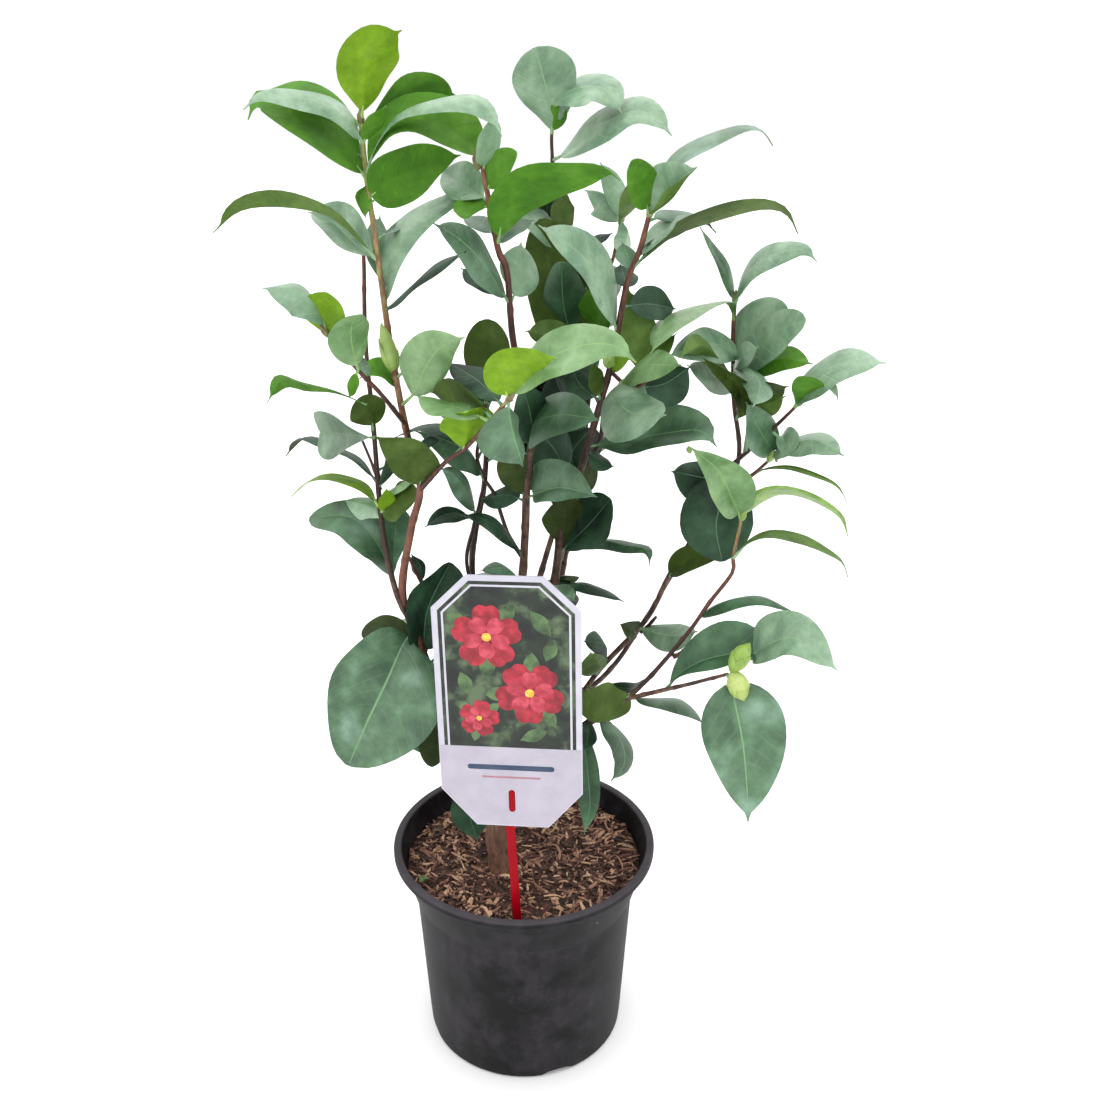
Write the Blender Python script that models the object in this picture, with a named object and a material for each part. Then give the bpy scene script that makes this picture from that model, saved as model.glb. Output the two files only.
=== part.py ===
"""Potted camellia: a young evergreen shrub standing in its nursery pot, with a plant label on a stick.

The frame has its origin at the centre of the pot's underside, +Z up, and -Y towards the front, where the
label stands. The script works in metres. Limbs and foliage masses are named by hand from a few points in
millimetres each, and MM turns them into metres.
"""

import math
import random

import bmesh
import bpy
from mathutils import Matrix, Vector

MM = 0.001
SEAT_GAP = 0.3 * MM          # air left between two solids that rest on each other
MASS_GAP = 0.8 * MM          # air left between two neighbouring masses of leaves

# Nursery pot, blow-moulded with a thin wall
POT_HEIGHT = 140 * MM
POT_RIM_RADIUS = 85 * MM
POT_BASE_RADIUS = 65 * MM
POT_WALL = 1.5 * MM
POT_FLOOR = 2 * MM
POT_LIP_HEIGHT = 6 * MM
POT_LIP_WIDTH = 4.5 * MM
POT_SHOULDER_HEIGHT = 110 * MM
POT_SHOULDER_RADIUS = 71.5 * MM
POT_COLLAR_STEP = 1.8 * MM
POT_FOOT_ROUNDING = 3 * MM
POT_SEGMENTS = 40
NOTCH_COUNT = 4
NOTCH_TURN = math.radians(-70)   # bearing of the first drain notch, counted from +X
NOTCH_WIDTH = 22 * MM
NOTCH_HEIGHT = 4.5 * MM
NOTCH_DEPTH = 11 * MM
ARCH_DROP = 0.8 * MM             # how far the arch's springing lies under the pot's foot

# Compost
COMPOST_TOP = 124 * MM
COMPOST_HEAP = 2.5 * MM
COMPOST_RINGS = 5
COMPOST_SEGMENTS = 30

# Plant label: an octagonal card clipped to a flat stick; CARD_CENTRE and STICK_FOOT are places
CARD_WIDTH = 82 * MM
CARD_HEIGHT = 159.5 * MM
CARD_CORNER = 20 * MM
CARD_THICKNESS = 0.8 * MM
CARD_CENTRE = Vector((-6.0, -70.0, 281.0)) * MM
CARD_TILT = math.radians(-1.0)
SLOT_WIDTH = 4.4 * MM
SLOT_HEIGHT = 14 * MM
SLOT_ABOVE_EDGE = 22 * MM
STICK_WIDTH = 6 * MM
STICK_THICKNESS = 2 * MM
STICK_BURIED = 24 * MM
TAB_LENGTH = 2.6 * MM
STICK_FOOT = Vector((-1.5, -68.0, 124.0)) * MM

LOBE_SHARPNESS = 7.5          # how fast a lobe of leaves thins away from its tip
MASS_POINTS = 84              # corners of a mass before it is cut
MASS_ROUGHNESS = 0.07         # uneven share of a mass's skin
LIMB_SIDES = 6
LIMB_STEPS = 2                # rings between two points of a limb
LIMB_REACH = 20 * MM          # how far apart the boxes of two limbs are when they are still cut clear
STEM_REACH = 6 * MM           # the same for a mass and the middle line of a limb


def clear_scene():
    for item in list(bpy.data.objects):
        bpy.data.objects.remove(item, do_unlink=True)


def material(name, colour, roughness):
    made = bpy.data.materials.new(name)
    made.use_nodes = True
    shader = made.node_tree.nodes["Principled BSDF"]
    shader.inputs["Base Color"].default_value = (*colour, 1.0)
    shader.inputs["Roughness"].default_value = roughness
    return made


def place(name, mesh, finish):
    solid = bpy.data.objects.new(name, mesh)
    bpy.context.scene.collection.objects.link(solid)
    solid.data.materials.clear()
    solid.data.materials.append(finish)
    return solid


def mesh_from(name, build):
    """A mesh that the function build fills, with its faces turned outwards."""
    shape = bmesh.new()
    build(shape)
    bmesh.ops.recalc_face_normals(shape, faces=shape.faces)
    mesh = bpy.data.meshes.new(name)
    shape.to_mesh(mesh)
    shape.free()
    return mesh


def cut(solid, cutter_mesh):
    """Takes the cutter out of the solid, and keeps the largest piece that is left."""
    cutter = bpy.data.objects.new("cutter", cutter_mesh)
    bpy.context.scene.collection.objects.link(cutter)
    modifier = solid.modifiers.new("cut", "BOOLEAN")
    modifier.operation = "DIFFERENCE"
    modifier.object = cutter
    bpy.context.view_layer.update()
    graph = bpy.context.evaluated_depsgraph_get()
    result = bpy.data.meshes.new_from_object(solid.evaluated_get(graph))
    solid.modifiers.remove(modifier)
    bpy.data.objects.remove(cutter, do_unlink=True)
    if len(result.polygons) > 3:
        keep_largest(result)
        solid.data = result


def keep_largest(mesh):
    """Drops every loose piece of a mesh but the one with the most faces."""
    shape = bmesh.new()
    shape.from_mesh(mesh)
    bmesh.ops.remove_doubles(shape, verts=shape.verts, dist=0.01 * MM)
    bmesh.ops.triangulate(shape, faces=shape.faces)
    waiting = set(shape.faces)
    islands = []
    for first in shape.faces:
        if first not in waiting:
            continue
        waiting.remove(first)
        island = [first]
        for face in island:
            for edge in face.edges:
                for neighbour in edge.link_faces:
                    if neighbour in waiting:
                        waiting.remove(neighbour)
                        island.append(neighbour)
        islands.append(island)
    islands.sort(key=len, reverse=True)
    spare = [face for island in islands[1:] for face in island]
    bmesh.ops.delete(shape, geom=spare, context="FACES")
    shape.to_mesh(mesh)
    shape.free()


def near(a, b, reach):
    """Whether the boxes of two sets of points come within reach of each other."""
    for axis in range(3):
        low_a = min(p[axis] for p in a)
        high_a = max(p[axis] for p in a)
        low_b = min(p[axis] for p in b)
        high_b = max(p[axis] for p in b)
        if low_a > high_b + reach or low_b > high_a + reach:
            return False
    return True


def points_of(solid):
    return [v.co for v in solid.data.vertices]


# ---------------------------------------------------------------- pot

def pot_profile():
    """Radius and height round the pot's wall, from the underside's centre out, up and back down inside."""
    foot = POT_BASE_RADIUS - POT_FOOT_ROUNDING
    collar = POT_SHOULDER_RADIUS + POT_COLLAR_STEP
    neck = POT_RIM_RADIUS - POT_LIP_WIDTH
    lip_base = POT_HEIGHT - POT_LIP_HEIGHT
    slope = (POT_SHOULDER_RADIUS - POT_BASE_RADIUS) / POT_SHOULDER_HEIGHT
    wall_start = 12 * MM
    outer = [
        (0.0, 0.0),
        (foot, 0.0),
        (foot + 0.7 * POT_FOOT_ROUNDING, 0.3 * POT_FOOT_ROUNDING),
        (POT_BASE_RADIUS, 1.3 * POT_FOOT_ROUNDING),
        (POT_BASE_RADIUS + slope * wall_start, wall_start),
        (POT_SHOULDER_RADIUS, POT_SHOULDER_HEIGHT - 1 * MM),
        (collar, POT_SHOULDER_HEIGHT + 1 * MM),
        (neck, lip_base - 1 * MM),
        (POT_RIM_RADIUS - 0.5 * MM, lip_base),
        (POT_RIM_RADIUS, lip_base + 1 * MM),
        (POT_RIM_RADIUS, POT_HEIGHT - 1 * MM),
        (POT_RIM_RADIUS - 1 * MM, POT_HEIGHT),
    ]
    inner = [
        (neck + 0.5 * MM, POT_HEIGHT),
        (neck - 0.6 * MM, POT_HEIGHT - 1.5 * MM),
        (neck - POT_WALL, lip_base - 2 * MM),
        (collar - POT_WALL, POT_SHOULDER_HEIGHT + 1.5 * MM),
        (POT_SHOULDER_RADIUS - POT_WALL, POT_SHOULDER_HEIGHT - 0.5 * MM),
        (POT_BASE_RADIUS - POT_WALL, wall_start),
        (foot - POT_WALL, POT_FLOOR),
        (0.0, POT_FLOOR),
    ]
    return outer + inner


def build_pot():
    def fill(shape):
        ends = [shape.verts.new((radius, 0.0, height)) for radius, height in pot_profile()]
        for start, end in zip(ends, ends[1:]):
            shape.edges.new((start, end))
        bmesh.ops.spin(shape, geom=shape.verts[:] + shape.edges[:], cent=(0, 0, 0), axis=(0, 0, 1),
                       angle=2 * math.pi, steps=POT_SEGMENTS, use_merge=True)
        bmesh.ops.remove_doubles(shape, verts=shape.verts, dist=0.01 * MM)

    pot = place("pot", mesh_from("pot", fill), material("black polypropylene", (0.04, 0.038, 0.042), 0.6))
    for number in range(NOTCH_COUNT):
        bearing = NOTCH_TURN + number * 2 * math.pi / NOTCH_COUNT
        cut(pot, notch_mesh(bearing))


def notch_mesh(bearing):
    """An arched block across the foot of the wall, where water drains out."""
    arch_steps = 6

    def fill(shape):
        section = []
        for step in range(arch_steps + 1):
            turn = math.pi * step / arch_steps
            rise = NOTCH_HEIGHT * math.sin(turn) - ARCH_DROP * math.cos(turn) ** 2
            section.append((0.5 * NOTCH_WIDTH * math.cos(turn), rise))
        section += [(-0.5 * NOTCH_WIDTH, -NOTCH_HEIGHT), (0.5 * NOTCH_WIDTH, -NOTCH_HEIGHT)]
        near_ring = [shape.verts.new((POT_BASE_RADIUS - NOTCH_DEPTH, y, z)) for y, z in section]
        far_ring = [shape.verts.new((POT_BASE_RADIUS + NOTCH_DEPTH, y, z)) for y, z in section]
        shape.faces.new(near_ring)
        shape.faces.new(list(reversed(far_ring)))
        for index in range(len(section)):
            after = (index + 1) % len(section)
            shape.faces.new((near_ring[index], far_ring[index], far_ring[after], near_ring[after]))
        bmesh.ops.rotate(shape, verts=shape.verts, cent=(0, 0, 0), matrix=Matrix.Rotation(bearing, 3, "Z"))

    return mesh_from("notch", fill)


def inner_radius(height):
    """Radius of the pot's inner wall at a height."""
    wall = [(r, z) for r, z in pot_profile()[12:] if r > 0]
    wall.reverse()
    for (r0, z0), (r1, z1) in zip(wall, wall[1:]):
        if z0 <= height <= z1:
            return r0 + (r1 - r0) * (height - z0) / (z1 - z0)
    return wall[0][0]


def build_compost():
    """The root ball with its uneven top, filling the pot to a finger's width under the rim."""
    levels = [POT_FLOOR + SEAT_GAP, 12 * MM, POT_SHOULDER_HEIGHT - 0.5 * MM, POT_SHOULDER_HEIGHT + 1.5 * MM]

    def fill(shape):
        rings = []
        for level in levels:
            radius = inner_radius(level + 0.01 * MM) - 2 * SEAT_GAP
            rings.append(ring_at(shape, radius, lambda x, y, level=level: level))
        top_radius = inner_radius(COMPOST_TOP - COMPOST_HEAP) - 2 * SEAT_GAP
        for step in range(COMPOST_RINGS, 0, -1):
            rings.append(ring_at(shape, top_radius * step / COMPOST_RINGS, compost_height))
        for low, high in zip(rings, rings[1:]):
            for index in range(COMPOST_SEGMENTS):
                after = (index + 1) % COMPOST_SEGMENTS
                shape.faces.new((low[index], low[after], high[after], high[index]))
        shape.faces.new(list(reversed(rings[0])))
        middle = shape.verts.new((0, 0, compost_height(0, 0)))
        for index in range(COMPOST_SEGMENTS):
            shape.faces.new((rings[-1][index], rings[-1][(index + 1) % COMPOST_SEGMENTS], middle))

    compost = place("compost", mesh_from("compost", fill), material("bark compost", (0.07, 0.04, 0.025), 0.9))
    for number in range(NOTCH_COUNT):
        bearing = NOTCH_TURN + number * 2 * math.pi / NOTCH_COUNT
        cut(compost, notch_clearance(bearing))
    return compost


def notch_clearance(bearing):
    mesh = notch_mesh(bearing)
    spread = 1 + SEAT_GAP / (0.5 * NOTCH_HEIGHT)
    mesh.transform(Matrix.Diagonal((1, 1, spread, 1)))
    return mesh


def ring_at(shape, radius, height_of):
    ring = []
    for index in range(COMPOST_SEGMENTS):
        turn = 2 * math.pi * index / COMPOST_SEGMENTS
        x = radius * math.cos(turn)
        y = radius * math.sin(turn)
        ring.append(shape.verts.new((x, y, height_of(x, y))))
    return ring


def compost_height(x, y):
    """A low heap round the stem that falls away to the wall, with a few waves in it."""
    wave = math.sin(x / (17 * MM)) * math.cos(y / (21 * MM) + 0.7)
    heap = math.exp(-((x + 16 * MM) ** 2 + (y + 14 * MM) ** 2) / (40 * MM) ** 2)
    return COMPOST_TOP + COMPOST_HEAP * (0.5 * wave + heap - 0.5)


# ---------------------------------------------------------------- trunk and limbs

def smooth_path(points):
    """Points read from one smooth curve through the limb's own points."""
    ends = [points[0] * 2 - points[1]] + points + [points[-1] * 2 - points[-2]]
    path = []
    for p0, p1, p2, p3 in zip(ends, ends[1:], ends[2:], ends[3:]):
        for step in range(LIMB_STEPS):
            t = step / LIMB_STEPS
            path.append(0.5 * ((2 * p1) + (p2 - p0) * t + (2 * p0 - 5 * p1 + 4 * p2 - p3) * t * t
                               + (3 * p1 - p0 - 3 * p2 + p3) * t ** 3))
    path.append(points[-1])
    return path


def limb_mesh(path, radii, grow=0.0):
    """A round tapering limb along a path. grow widens it all over and lengthens both ends."""
    def fill(shape):
        line = list(path)
        if grow:
            line[0] = line[0] + (line[0] - line[1]).normalized() * grow
            line[-1] = line[-1] + (line[-1] - line[-2]).normalized() * grow
        side = Vector((1, 0, 0))
        rings = []
        for index, centre in enumerate(line):
            along = (line[min(index + 1, len(line) - 1)] - line[max(index - 1, 0)]).normalized()
            side = (side - along * side.dot(along)).normalized()
            other = along.cross(side)
            radius = (radii[index] + grow) / math.cos(math.pi / LIMB_SIDES) ** 0.5
            ring = []
            for corner in range(LIMB_SIDES):
                turn = 2 * math.pi * corner / LIMB_SIDES
                ring.append(shape.verts.new(centre + radius * (side * math.cos(turn) + other * math.sin(turn))))
            rings.append(ring)
        for low, high in zip(rings, rings[1:]):
            for corner in range(LIMB_SIDES):
                after = (corner + 1) % LIMB_SIDES
                shape.faces.new((low[corner], low[after], high[after], high[corner]))
        shape.faces.new(list(reversed(rings[0])))
        shape.faces.new(rings[-1])

    return mesh_from("limb", fill)


class Limb:
    """One tapering limb: its points in millimetres and its radius at the foot and at the tip."""

    def __init__(self, name, foot_radius, tip_radius, *points):
        self.name = name
        self.path = smooth_path([Vector(p) * MM for p in points])
        lengths = [0.0]
        for start, end in zip(self.path, self.path[1:]):
            lengths.append(lengths[-1] + (end - start).length)
        share = [length / lengths[-1] for length in lengths]
        self.radii = [(foot_radius + (tip_radius - foot_radius) * s) * MM for s in share]

    def flare(self, extra, reach):
        """Spreads the foot like roots that dive into the compost."""
        for index, point in enumerate(self.path):
            rise = (point.z - self.path[0].z) / (reach * MM)
            self.radii[index] += extra * MM * math.exp(-3 * rise)

    def solid(self, grow=0.0):
        return limb_mesh(self.path, self.radii, grow)


def limbs():
    """Every limb, parent before child. A child starts in its parent, and is cut back to the parent's bark."""
    trunk = Limb("trunk", 8.2, 6.8, (-17, -14, 119), (-18, -13, 135), (-17, -12, 160), (-13, -10, 196))
    trunk.flare(3.5, 18)
    return [
        trunk,
        Limb("stem_centre", 4.2, 1.7, (-13, -10, 196.4), (-9, -10, 245), (1, -8, 336), (4, -15, 395),
             (7, -22, 432), (1, -34, 478), (-5, -38, 515)),
        Limb("stem_left", 3.6, 1.5, (-19, -15, 172), (-34, -22, 214), (-62, -30, 303), (-71, -33, 340),
             (-60, -35, 376), (-54, -36, 399), (-60, -36, 431), (-66, -35, 474), (-72, -32, 536), (-75, -30, 572)),
        Limb("stem_right", 4.4, 1.9, (-12, -8, 188), (6, 2, 248), (20, 7, 325), (25, 6, 372),
             (34, 0, 395), (45, -11, 440), (50, -16, 462), (57, -24, 506), (65, -28, 536)),
        Limb("bough_right", 3.4, 1.5, (-14, -10, 176), (22, 2, 222), (47, 6, 262), (76, 8, 297),
             (90, 12, 326), (108, 17, 356), (128, 21, 393), (124, 25, 432), (122, 29, 470)),
        Limb("bough_right_front", 2.9, 1.3, (-14, -14, 184), (22, -30, 231), (62, -48, 274), (87, -50, 302),
             (102, -48, 324), (115, -45, 349), (120, -45, 380)),
        Limb("stem_back_left", 3.2, 1.4, (-15, -8, 178), (-22, 14, 240), (-31, 24, 324), (-23, 42, 376),
             (-22, 60, 430), (-30, 74, 478)),
        Limb("stem_back_right", 3.2, 1.4, (-11, -6, 192), (12, 24, 250), (27, 40, 330), (38, 52, 400),
             (42, 66, 452), (40, 76, 496)),
        Limb("stem_back_low", 2.8, 1.3, (-13, -6, 170), (4, 22, 206), (44, 50, 256), (82, 70, 310), (104, 82, 348)),
        Limb("bough_left", 2.5, 1.3, (-70, -33, 336), (-78, -16, 356), (-82, 0, 376), (-86, 20, 415),
             (-90, 35, 464), (-90, 46, 505)),
        Limb("bough_far_back", 1.9, 1.1, (37, 52, 396), (38, 58, 440), (34, 60, 500), (24, 60, 545), (21, 60, 568)),
        Limb("twig_left_front", 1.8, 1.1, (-54, -36, 401), (-38, -54, 419), (-26, -66, 431), (-13, -83, 450)),
        Limb("twig_left_outer", 1.6, 1.0, (-61, -36, 438), (-71, -49, 455), (-80, -60, 470)),
        Limb("twig_right", 1.6, 1.0, (127, 21, 397), (137, 9, 410), (148, -8, 430)),
        Limb("twig_buds", 1.7, 1.1, (64, -49, 276), (80, -64, 288), (94, -78, 300), (106, -88, 309)),
    ]


def build_limbs(compost, finish):
    made = []
    for limb in limbs():
        solid = place(limb.name, limb.solid(), finish)
        for other, _ in made:
            if near(limb.path, other.path, LIMB_REACH):
                cut(solid, other.solid(SEAT_GAP))
        made.append((limb, solid))
    cut(compost, made[0][0].solid(SEAT_GAP))
    return made


# ---------------------------------------------------------------- foliage

def even_directions(count):
    """Directions spread evenly over a ball, each a golden angle round from the last."""
    golden = math.pi * (3 - math.sqrt(5))
    ways = []
    for index in range(count):
        height = 1 - 2 * (index + 0.5) / count
        across = math.sqrt(1 - height * height)
        turn = golden * index
        ways.append(Vector((across * math.cos(turn), across * math.sin(turn), height)))
    return ways


class Mass:
    """One spray of leaves as a closed uneven solid: a core and a lobe out to each named leaf tip.

    centre, core (half sizes) and tips are in millimetres, and the tips are places in the shrub's frame."""

    def __init__(self, name, centre, core, *tips):
        self.name = name
        self.centre = Vector(centre) * MM
        self.core = Vector(core) * MM
        self.lobes = [Vector(tip) * MM - self.centre for tip in tips]

    def reach(self, way):
        """Distance from the centre to the skin in a direction."""
        a, b, c = self.core
        radius = 1.0 / math.sqrt((way.x / a) ** 2 + (way.y / b) ** 2 + (way.z / c) ** 2)
        for lobe in self.lobes:
            spread = 1.0 - way.dot(lobe.normalized())
            radius = max(radius, lobe.length * math.exp(-LOBE_SHARPNESS * spread))
        return radius

    def solid(self, grow=0.0):
        ways = even_directions(MASS_POINTS)
        rough = random.Random(self.name)
        sizes = [self.reach(way) * rough.uniform(1 - MASS_ROUGHNESS, 1 + MASS_ROUGHNESS) for way in ways]
        taken = set()
        for lobe in self.lobes:
            nearest = sorted(range(len(ways)), key=lambda i, lobe=lobe: -ways[i].dot(lobe.normalized()))
            tip = next(i for i in nearest if i not in taken)
            taken.add(tip)
            ways[tip] = lobe.normalized()
            sizes[tip] = lobe.length

        def fill(shape):
            for way in ways:
                shape.verts.new(way)
            bmesh.ops.convex_hull(shape, input=shape.verts)
            shape.verts.ensure_lookup_table()
            for index, vert in enumerate(shape.verts):
                vert.co = self.centre + ways[index] * (sizes[index] + grow)

        return mesh_from(self.name, fill)


def masses():
    """Every mass of leaves, the ones that set the outline first, because later ones give way to them."""
    return [
        Mass("leaves_left_top", (-72, -30, 576), (44, 36, 24), (-66, -30, 631), (-49, -34, 626), (-84, -30, 618),
             (-131, -44, 586), (-118, -34, 603), (-8, -54, 580), (-30, -12, 599), (-104, 8, 596), (-32, -24, 558),
             (-64, 26, 590)),
        Mass("leaves_left_upper", (-68, -28, 524), (38, 34, 19), (-155, -34, 533), (-130, -34, 544), (-111, -4, 540),
             (-22, -14, 552), (-28, -58, 530), (-60, 28, 520), (-62, -68, 532)),
        Mass("leaves_left_outer", (-88, -58, 474), (29, 26, 22), (-122, -76, 512), (-82, -74, 502),
             (-60, -78, 462), (-118, -50, 462), (-84, -40, 448)),
        Mass("leaves_left_middle", (-74, -28, 424), (38, 34, 18), (-146, -12, 432), (-108, -52, 434),
             (-140, -2, 398), (-40, -64, 416), (-26, -44, 462), (-100, 18, 436)),
        Mass("leaves_left_low", (-88, 8, 360), (36, 34, 22), (-124, -10, 368), (-138, 12, 378), (-60, 4, 362),
             (-96, 56, 366), (-74, 46, 340), (-88, -4, 338)),
        Mass("leaves_left_skirt", (-80, -50, 288), (30, 10, 30), (-98, -86, 248), (-109, -62, 266),
             (-58, -42, 258), (-61, -29, 303)),
        Mass("leaves_centre_top", (-2, -40, 540), (32, 30, 24), (-3, -34, 574), (52, -72, 561), (-40, -58, 540),
             (12, -62, 524), (-10, 6, 548), (28, -56, 566)),
        Mass("leaves_centre_middle", (-2, -62, 464), (36, 36, 22), (-12, -110, 490), (57, -112, 486),
             (-38, -88, 452), (4, -90, 428), (34, -72, 434), (-10, -30, 500), (-28, -40, 496)),
        Mass("leaves_centre_low", (12, 2, 404), (32, 26, 20), (54, -6, 384), (-16, -24, 418), (44, -30, 394),
             (-28, 16, 388), (16, 38, 412)),
        Mass("leaves_back_top", (24, 60, 574), (34, 28, 24), (6, 58, 619), (24, 58, 612), (57, 70, 590),
             (88, 64, 575), (-16, 78, 578), (30, 100, 566), (50, 50, 552)),
        Mass("leaves_right_top", (72, -22, 538), (34, 30, 22), (130, -12, 573), (106, -16, 572), (143, -42, 534),
             (59, -30, 572), (90, -50, 566), (84, 16, 546)),
        Mass("leaves_right_middle", (58, -16, 472), (32, 32, 26), (12, -28, 526), (62, 8, 506), (80, -32, 470),
             (48, -80, 442), (108, -30, 424), (92, 12, 472), (30, 8, 510)),
        Mass("leaves_right_outer", (136, 12, 464), (34, 30, 26), (167, 26, 512), (164, 14, 484), (205, -4, 460),
             (124, -34, 438), (180, -26, 412), (104, 36, 522), (138, 60, 482), (126, 8, 424)),
        Mass("leaves_right_low", (118, -12, 376), (30, 36, 27), (191, 6, 380), (182, -50, 370), (182, -56, 350),
             (91, -58, 430), (96, -18, 344), (128, 44, 380)),
        Mass("leaves_right_skirt", (120, -84, 306), (34, 14, 22), (168, -96, 316), (122, -120, 240), (140, -112, 262),
             (84, -64, 292), (152, -46, 326), (108, -108, 270)),
        Mass("leaves_inner_right", (44, -34, 254), (20, 14, 18), (104, -62, 262), (58, -50, 219),
             (38, -48, 182), (30, -28, 296)),
        Mass("leaves_inner_middle", (40, 4, 332), (19, 12, 13), (78, 4, 330), (64, 14, 310), (24, 20, 338)),
        Mass("leaves_inner_left", (-50, -6, 316), (17, 15, 22), (-42, -14, 346), (-50, -26, 264), (-58, 12, 345)),
        Mass("leaves_back_left", (-34, 86, 482), (40, 36, 30), (-92, 98, 512), (-30, 146, 500), (16, 112, 470),
             (-82, 124, 462), (-26, 78, 532), (-40, 124, 438), (0, 128, 500)),
        Mass("leaves_back_right", (50, 90, 474), (36, 34, 28), (112, 108, 500), (56, 146, 492), (98, 96, 450),
             (20, 118, 520), (60, 124, 436)),
        Mass("leaves_back_low", (104, 86, 348), (34, 28, 22), (160, 98, 366), (108, 138, 346), (56, 100, 352),
             (136, 118, 318), (92, 66, 386)),
        Mass("leaves_back_inner", (-16, 64, 364), (30, 26, 20), (-62, 98, 360), (0, 120, 356), (30, 84, 372),
             (-28, 96, 318)),
    ]


def build_foliage(made_limbs, finish):
    made = []
    for mass in masses():
        solid = place(mass.name, mass.solid(), finish)
        for other in made:
            if near(points_of(solid), [v.co for v in other.solid().vertices], MASS_GAP):
                cut(solid, other.solid(MASS_GAP))
        for limb, _ in made_limbs:
            if near(points_of(solid), limb.path, STEM_REACH):
                cut(solid, limb.solid(SEAT_GAP))
        made.append(mass)


# ---------------------------------------------------------------- plant label

def card_frame():
    return Matrix.Translation(CARD_CENTRE) @ Matrix.Rotation(CARD_TILT, 4, "Y")


def build_card():
    half_w = 0.5 * CARD_WIDTH
    half_h = 0.5 * CARD_HEIGHT
    outline = []
    for x, z in ((1, 1), (-1, 1), (-1, -1), (1, -1)):
        flat = (x * (half_w - CARD_CORNER), z * half_h)
        upright = (x * half_w, z * (half_h - CARD_CORNER))
        outline += [upright, flat] if x * z > 0 else [flat, upright]

    def fill(shape):
        face = shape.faces.new([shape.verts.new((x, 0, z)) for x, z in outline])
        thick = bmesh.ops.extrude_face_region(shape, geom=[face])
        moved = [item for item in thick["geom"] if isinstance(item, bmesh.types.BMVert)]
        bmesh.ops.translate(shape, verts=moved, vec=(0, CARD_THICKNESS, 0))

    card = place("label_card", mesh_from("card", fill), material("white card", (0.8, 0.79, 0.85), 0.5))
    slot = block(SLOT_WIDTH, 4 * CARD_THICKNESS, SLOT_HEIGHT, 0.0, CARD_THICKNESS, slot_middle())
    cut(card, slot)
    card.data.transform(card_frame())


def slot_middle():
    return -0.5 * CARD_HEIGHT + SLOT_ABOVE_EDGE


def block(width, depth, height, x, y, z):
    def fill(shape):
        bmesh.ops.create_cube(shape, size=1.0)
        bmesh.ops.scale(shape, vec=(width, depth, height), verts=shape.verts)
        bmesh.ops.translate(shape, vec=(x, y, z), verts=shape.verts)

    return mesh_from("block", fill)


def stick_mesh(grow=0.0):
    """A flat stick pushed into the compost, up behind the card, with a tab that clips through its slot."""
    head = card_frame() @ Vector((0, CARD_THICKNESS + SEAT_GAP, slot_middle() + 0.6 * SLOT_HEIGHT))
    down = (STICK_FOOT - head).normalized()
    foot = STICK_FOOT + down * STICK_BURIED

    def fill(shape):
        rings = []
        for centre in (foot, head):
            ring = []
            for x, y in ((-0.5, 0), (0.5, 0), (0.5, 1), (-0.5, 1)):
                wide = x * (STICK_WIDTH + 2 * grow)
                deep = y * (STICK_THICKNESS + 2 * grow) - grow
                ring.append(shape.verts.new(centre + Vector((wide, deep, 0))))
            rings.append(ring)
        for corner in range(4):
            after = (corner + 1) % 4
            shape.faces.new((rings[0][corner], rings[0][after], rings[1][after], rings[1][corner]))
        shape.faces.new(list(reversed(rings[0])))
        shape.faces.new(rings[1])

    return mesh_from("stick", fill)


def build_stick(compost):
    stick = place("label_stick", stick_mesh(), material("red polystyrene", (0.62, 0.02, 0.03), 0.35))
    tab_width = SLOT_WIDTH - 2 * SEAT_GAP
    tab_height = SLOT_HEIGHT - 2 * SEAT_GAP
    tab = bpy.data.objects.new("tab", block(tab_width, TAB_LENGTH, tab_height, 0, 0.35 * TAB_LENGTH, slot_middle()))
    tab.data.transform(card_frame())
    bpy.context.scene.collection.objects.link(tab)
    modifier = stick.modifiers.new("tab", "BOOLEAN")
    modifier.operation = "UNION"
    modifier.object = tab
    bpy.context.view_layer.update()
    joined = bpy.data.meshes.new_from_object(stick.evaluated_get(bpy.context.evaluated_depsgraph_get()))
    stick.modifiers.remove(modifier)
    stick.data = joined
    bpy.data.objects.remove(tab, do_unlink=True)
    keep_largest(stick.data)
    cut(compost, stick_mesh(SEAT_GAP))


def main():
    clear_scene()
    build_pot()
    compost = build_compost()
    made_limbs = build_limbs(compost, material("camellia bark", (0.16, 0.075, 0.05), 0.75))
    build_foliage(made_limbs, material("camellia leaf", (0.03, 0.11, 0.035), 0.4))
    build_card()
    build_stick(compost)


main()
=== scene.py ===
"""Looks of the potted camellia: bark, leaves, buds, pot, compost and label around the fixed frame."""

import math
import random

import bpy
import numpy as np
from mathutils import Matrix, Vector, noise


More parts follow.
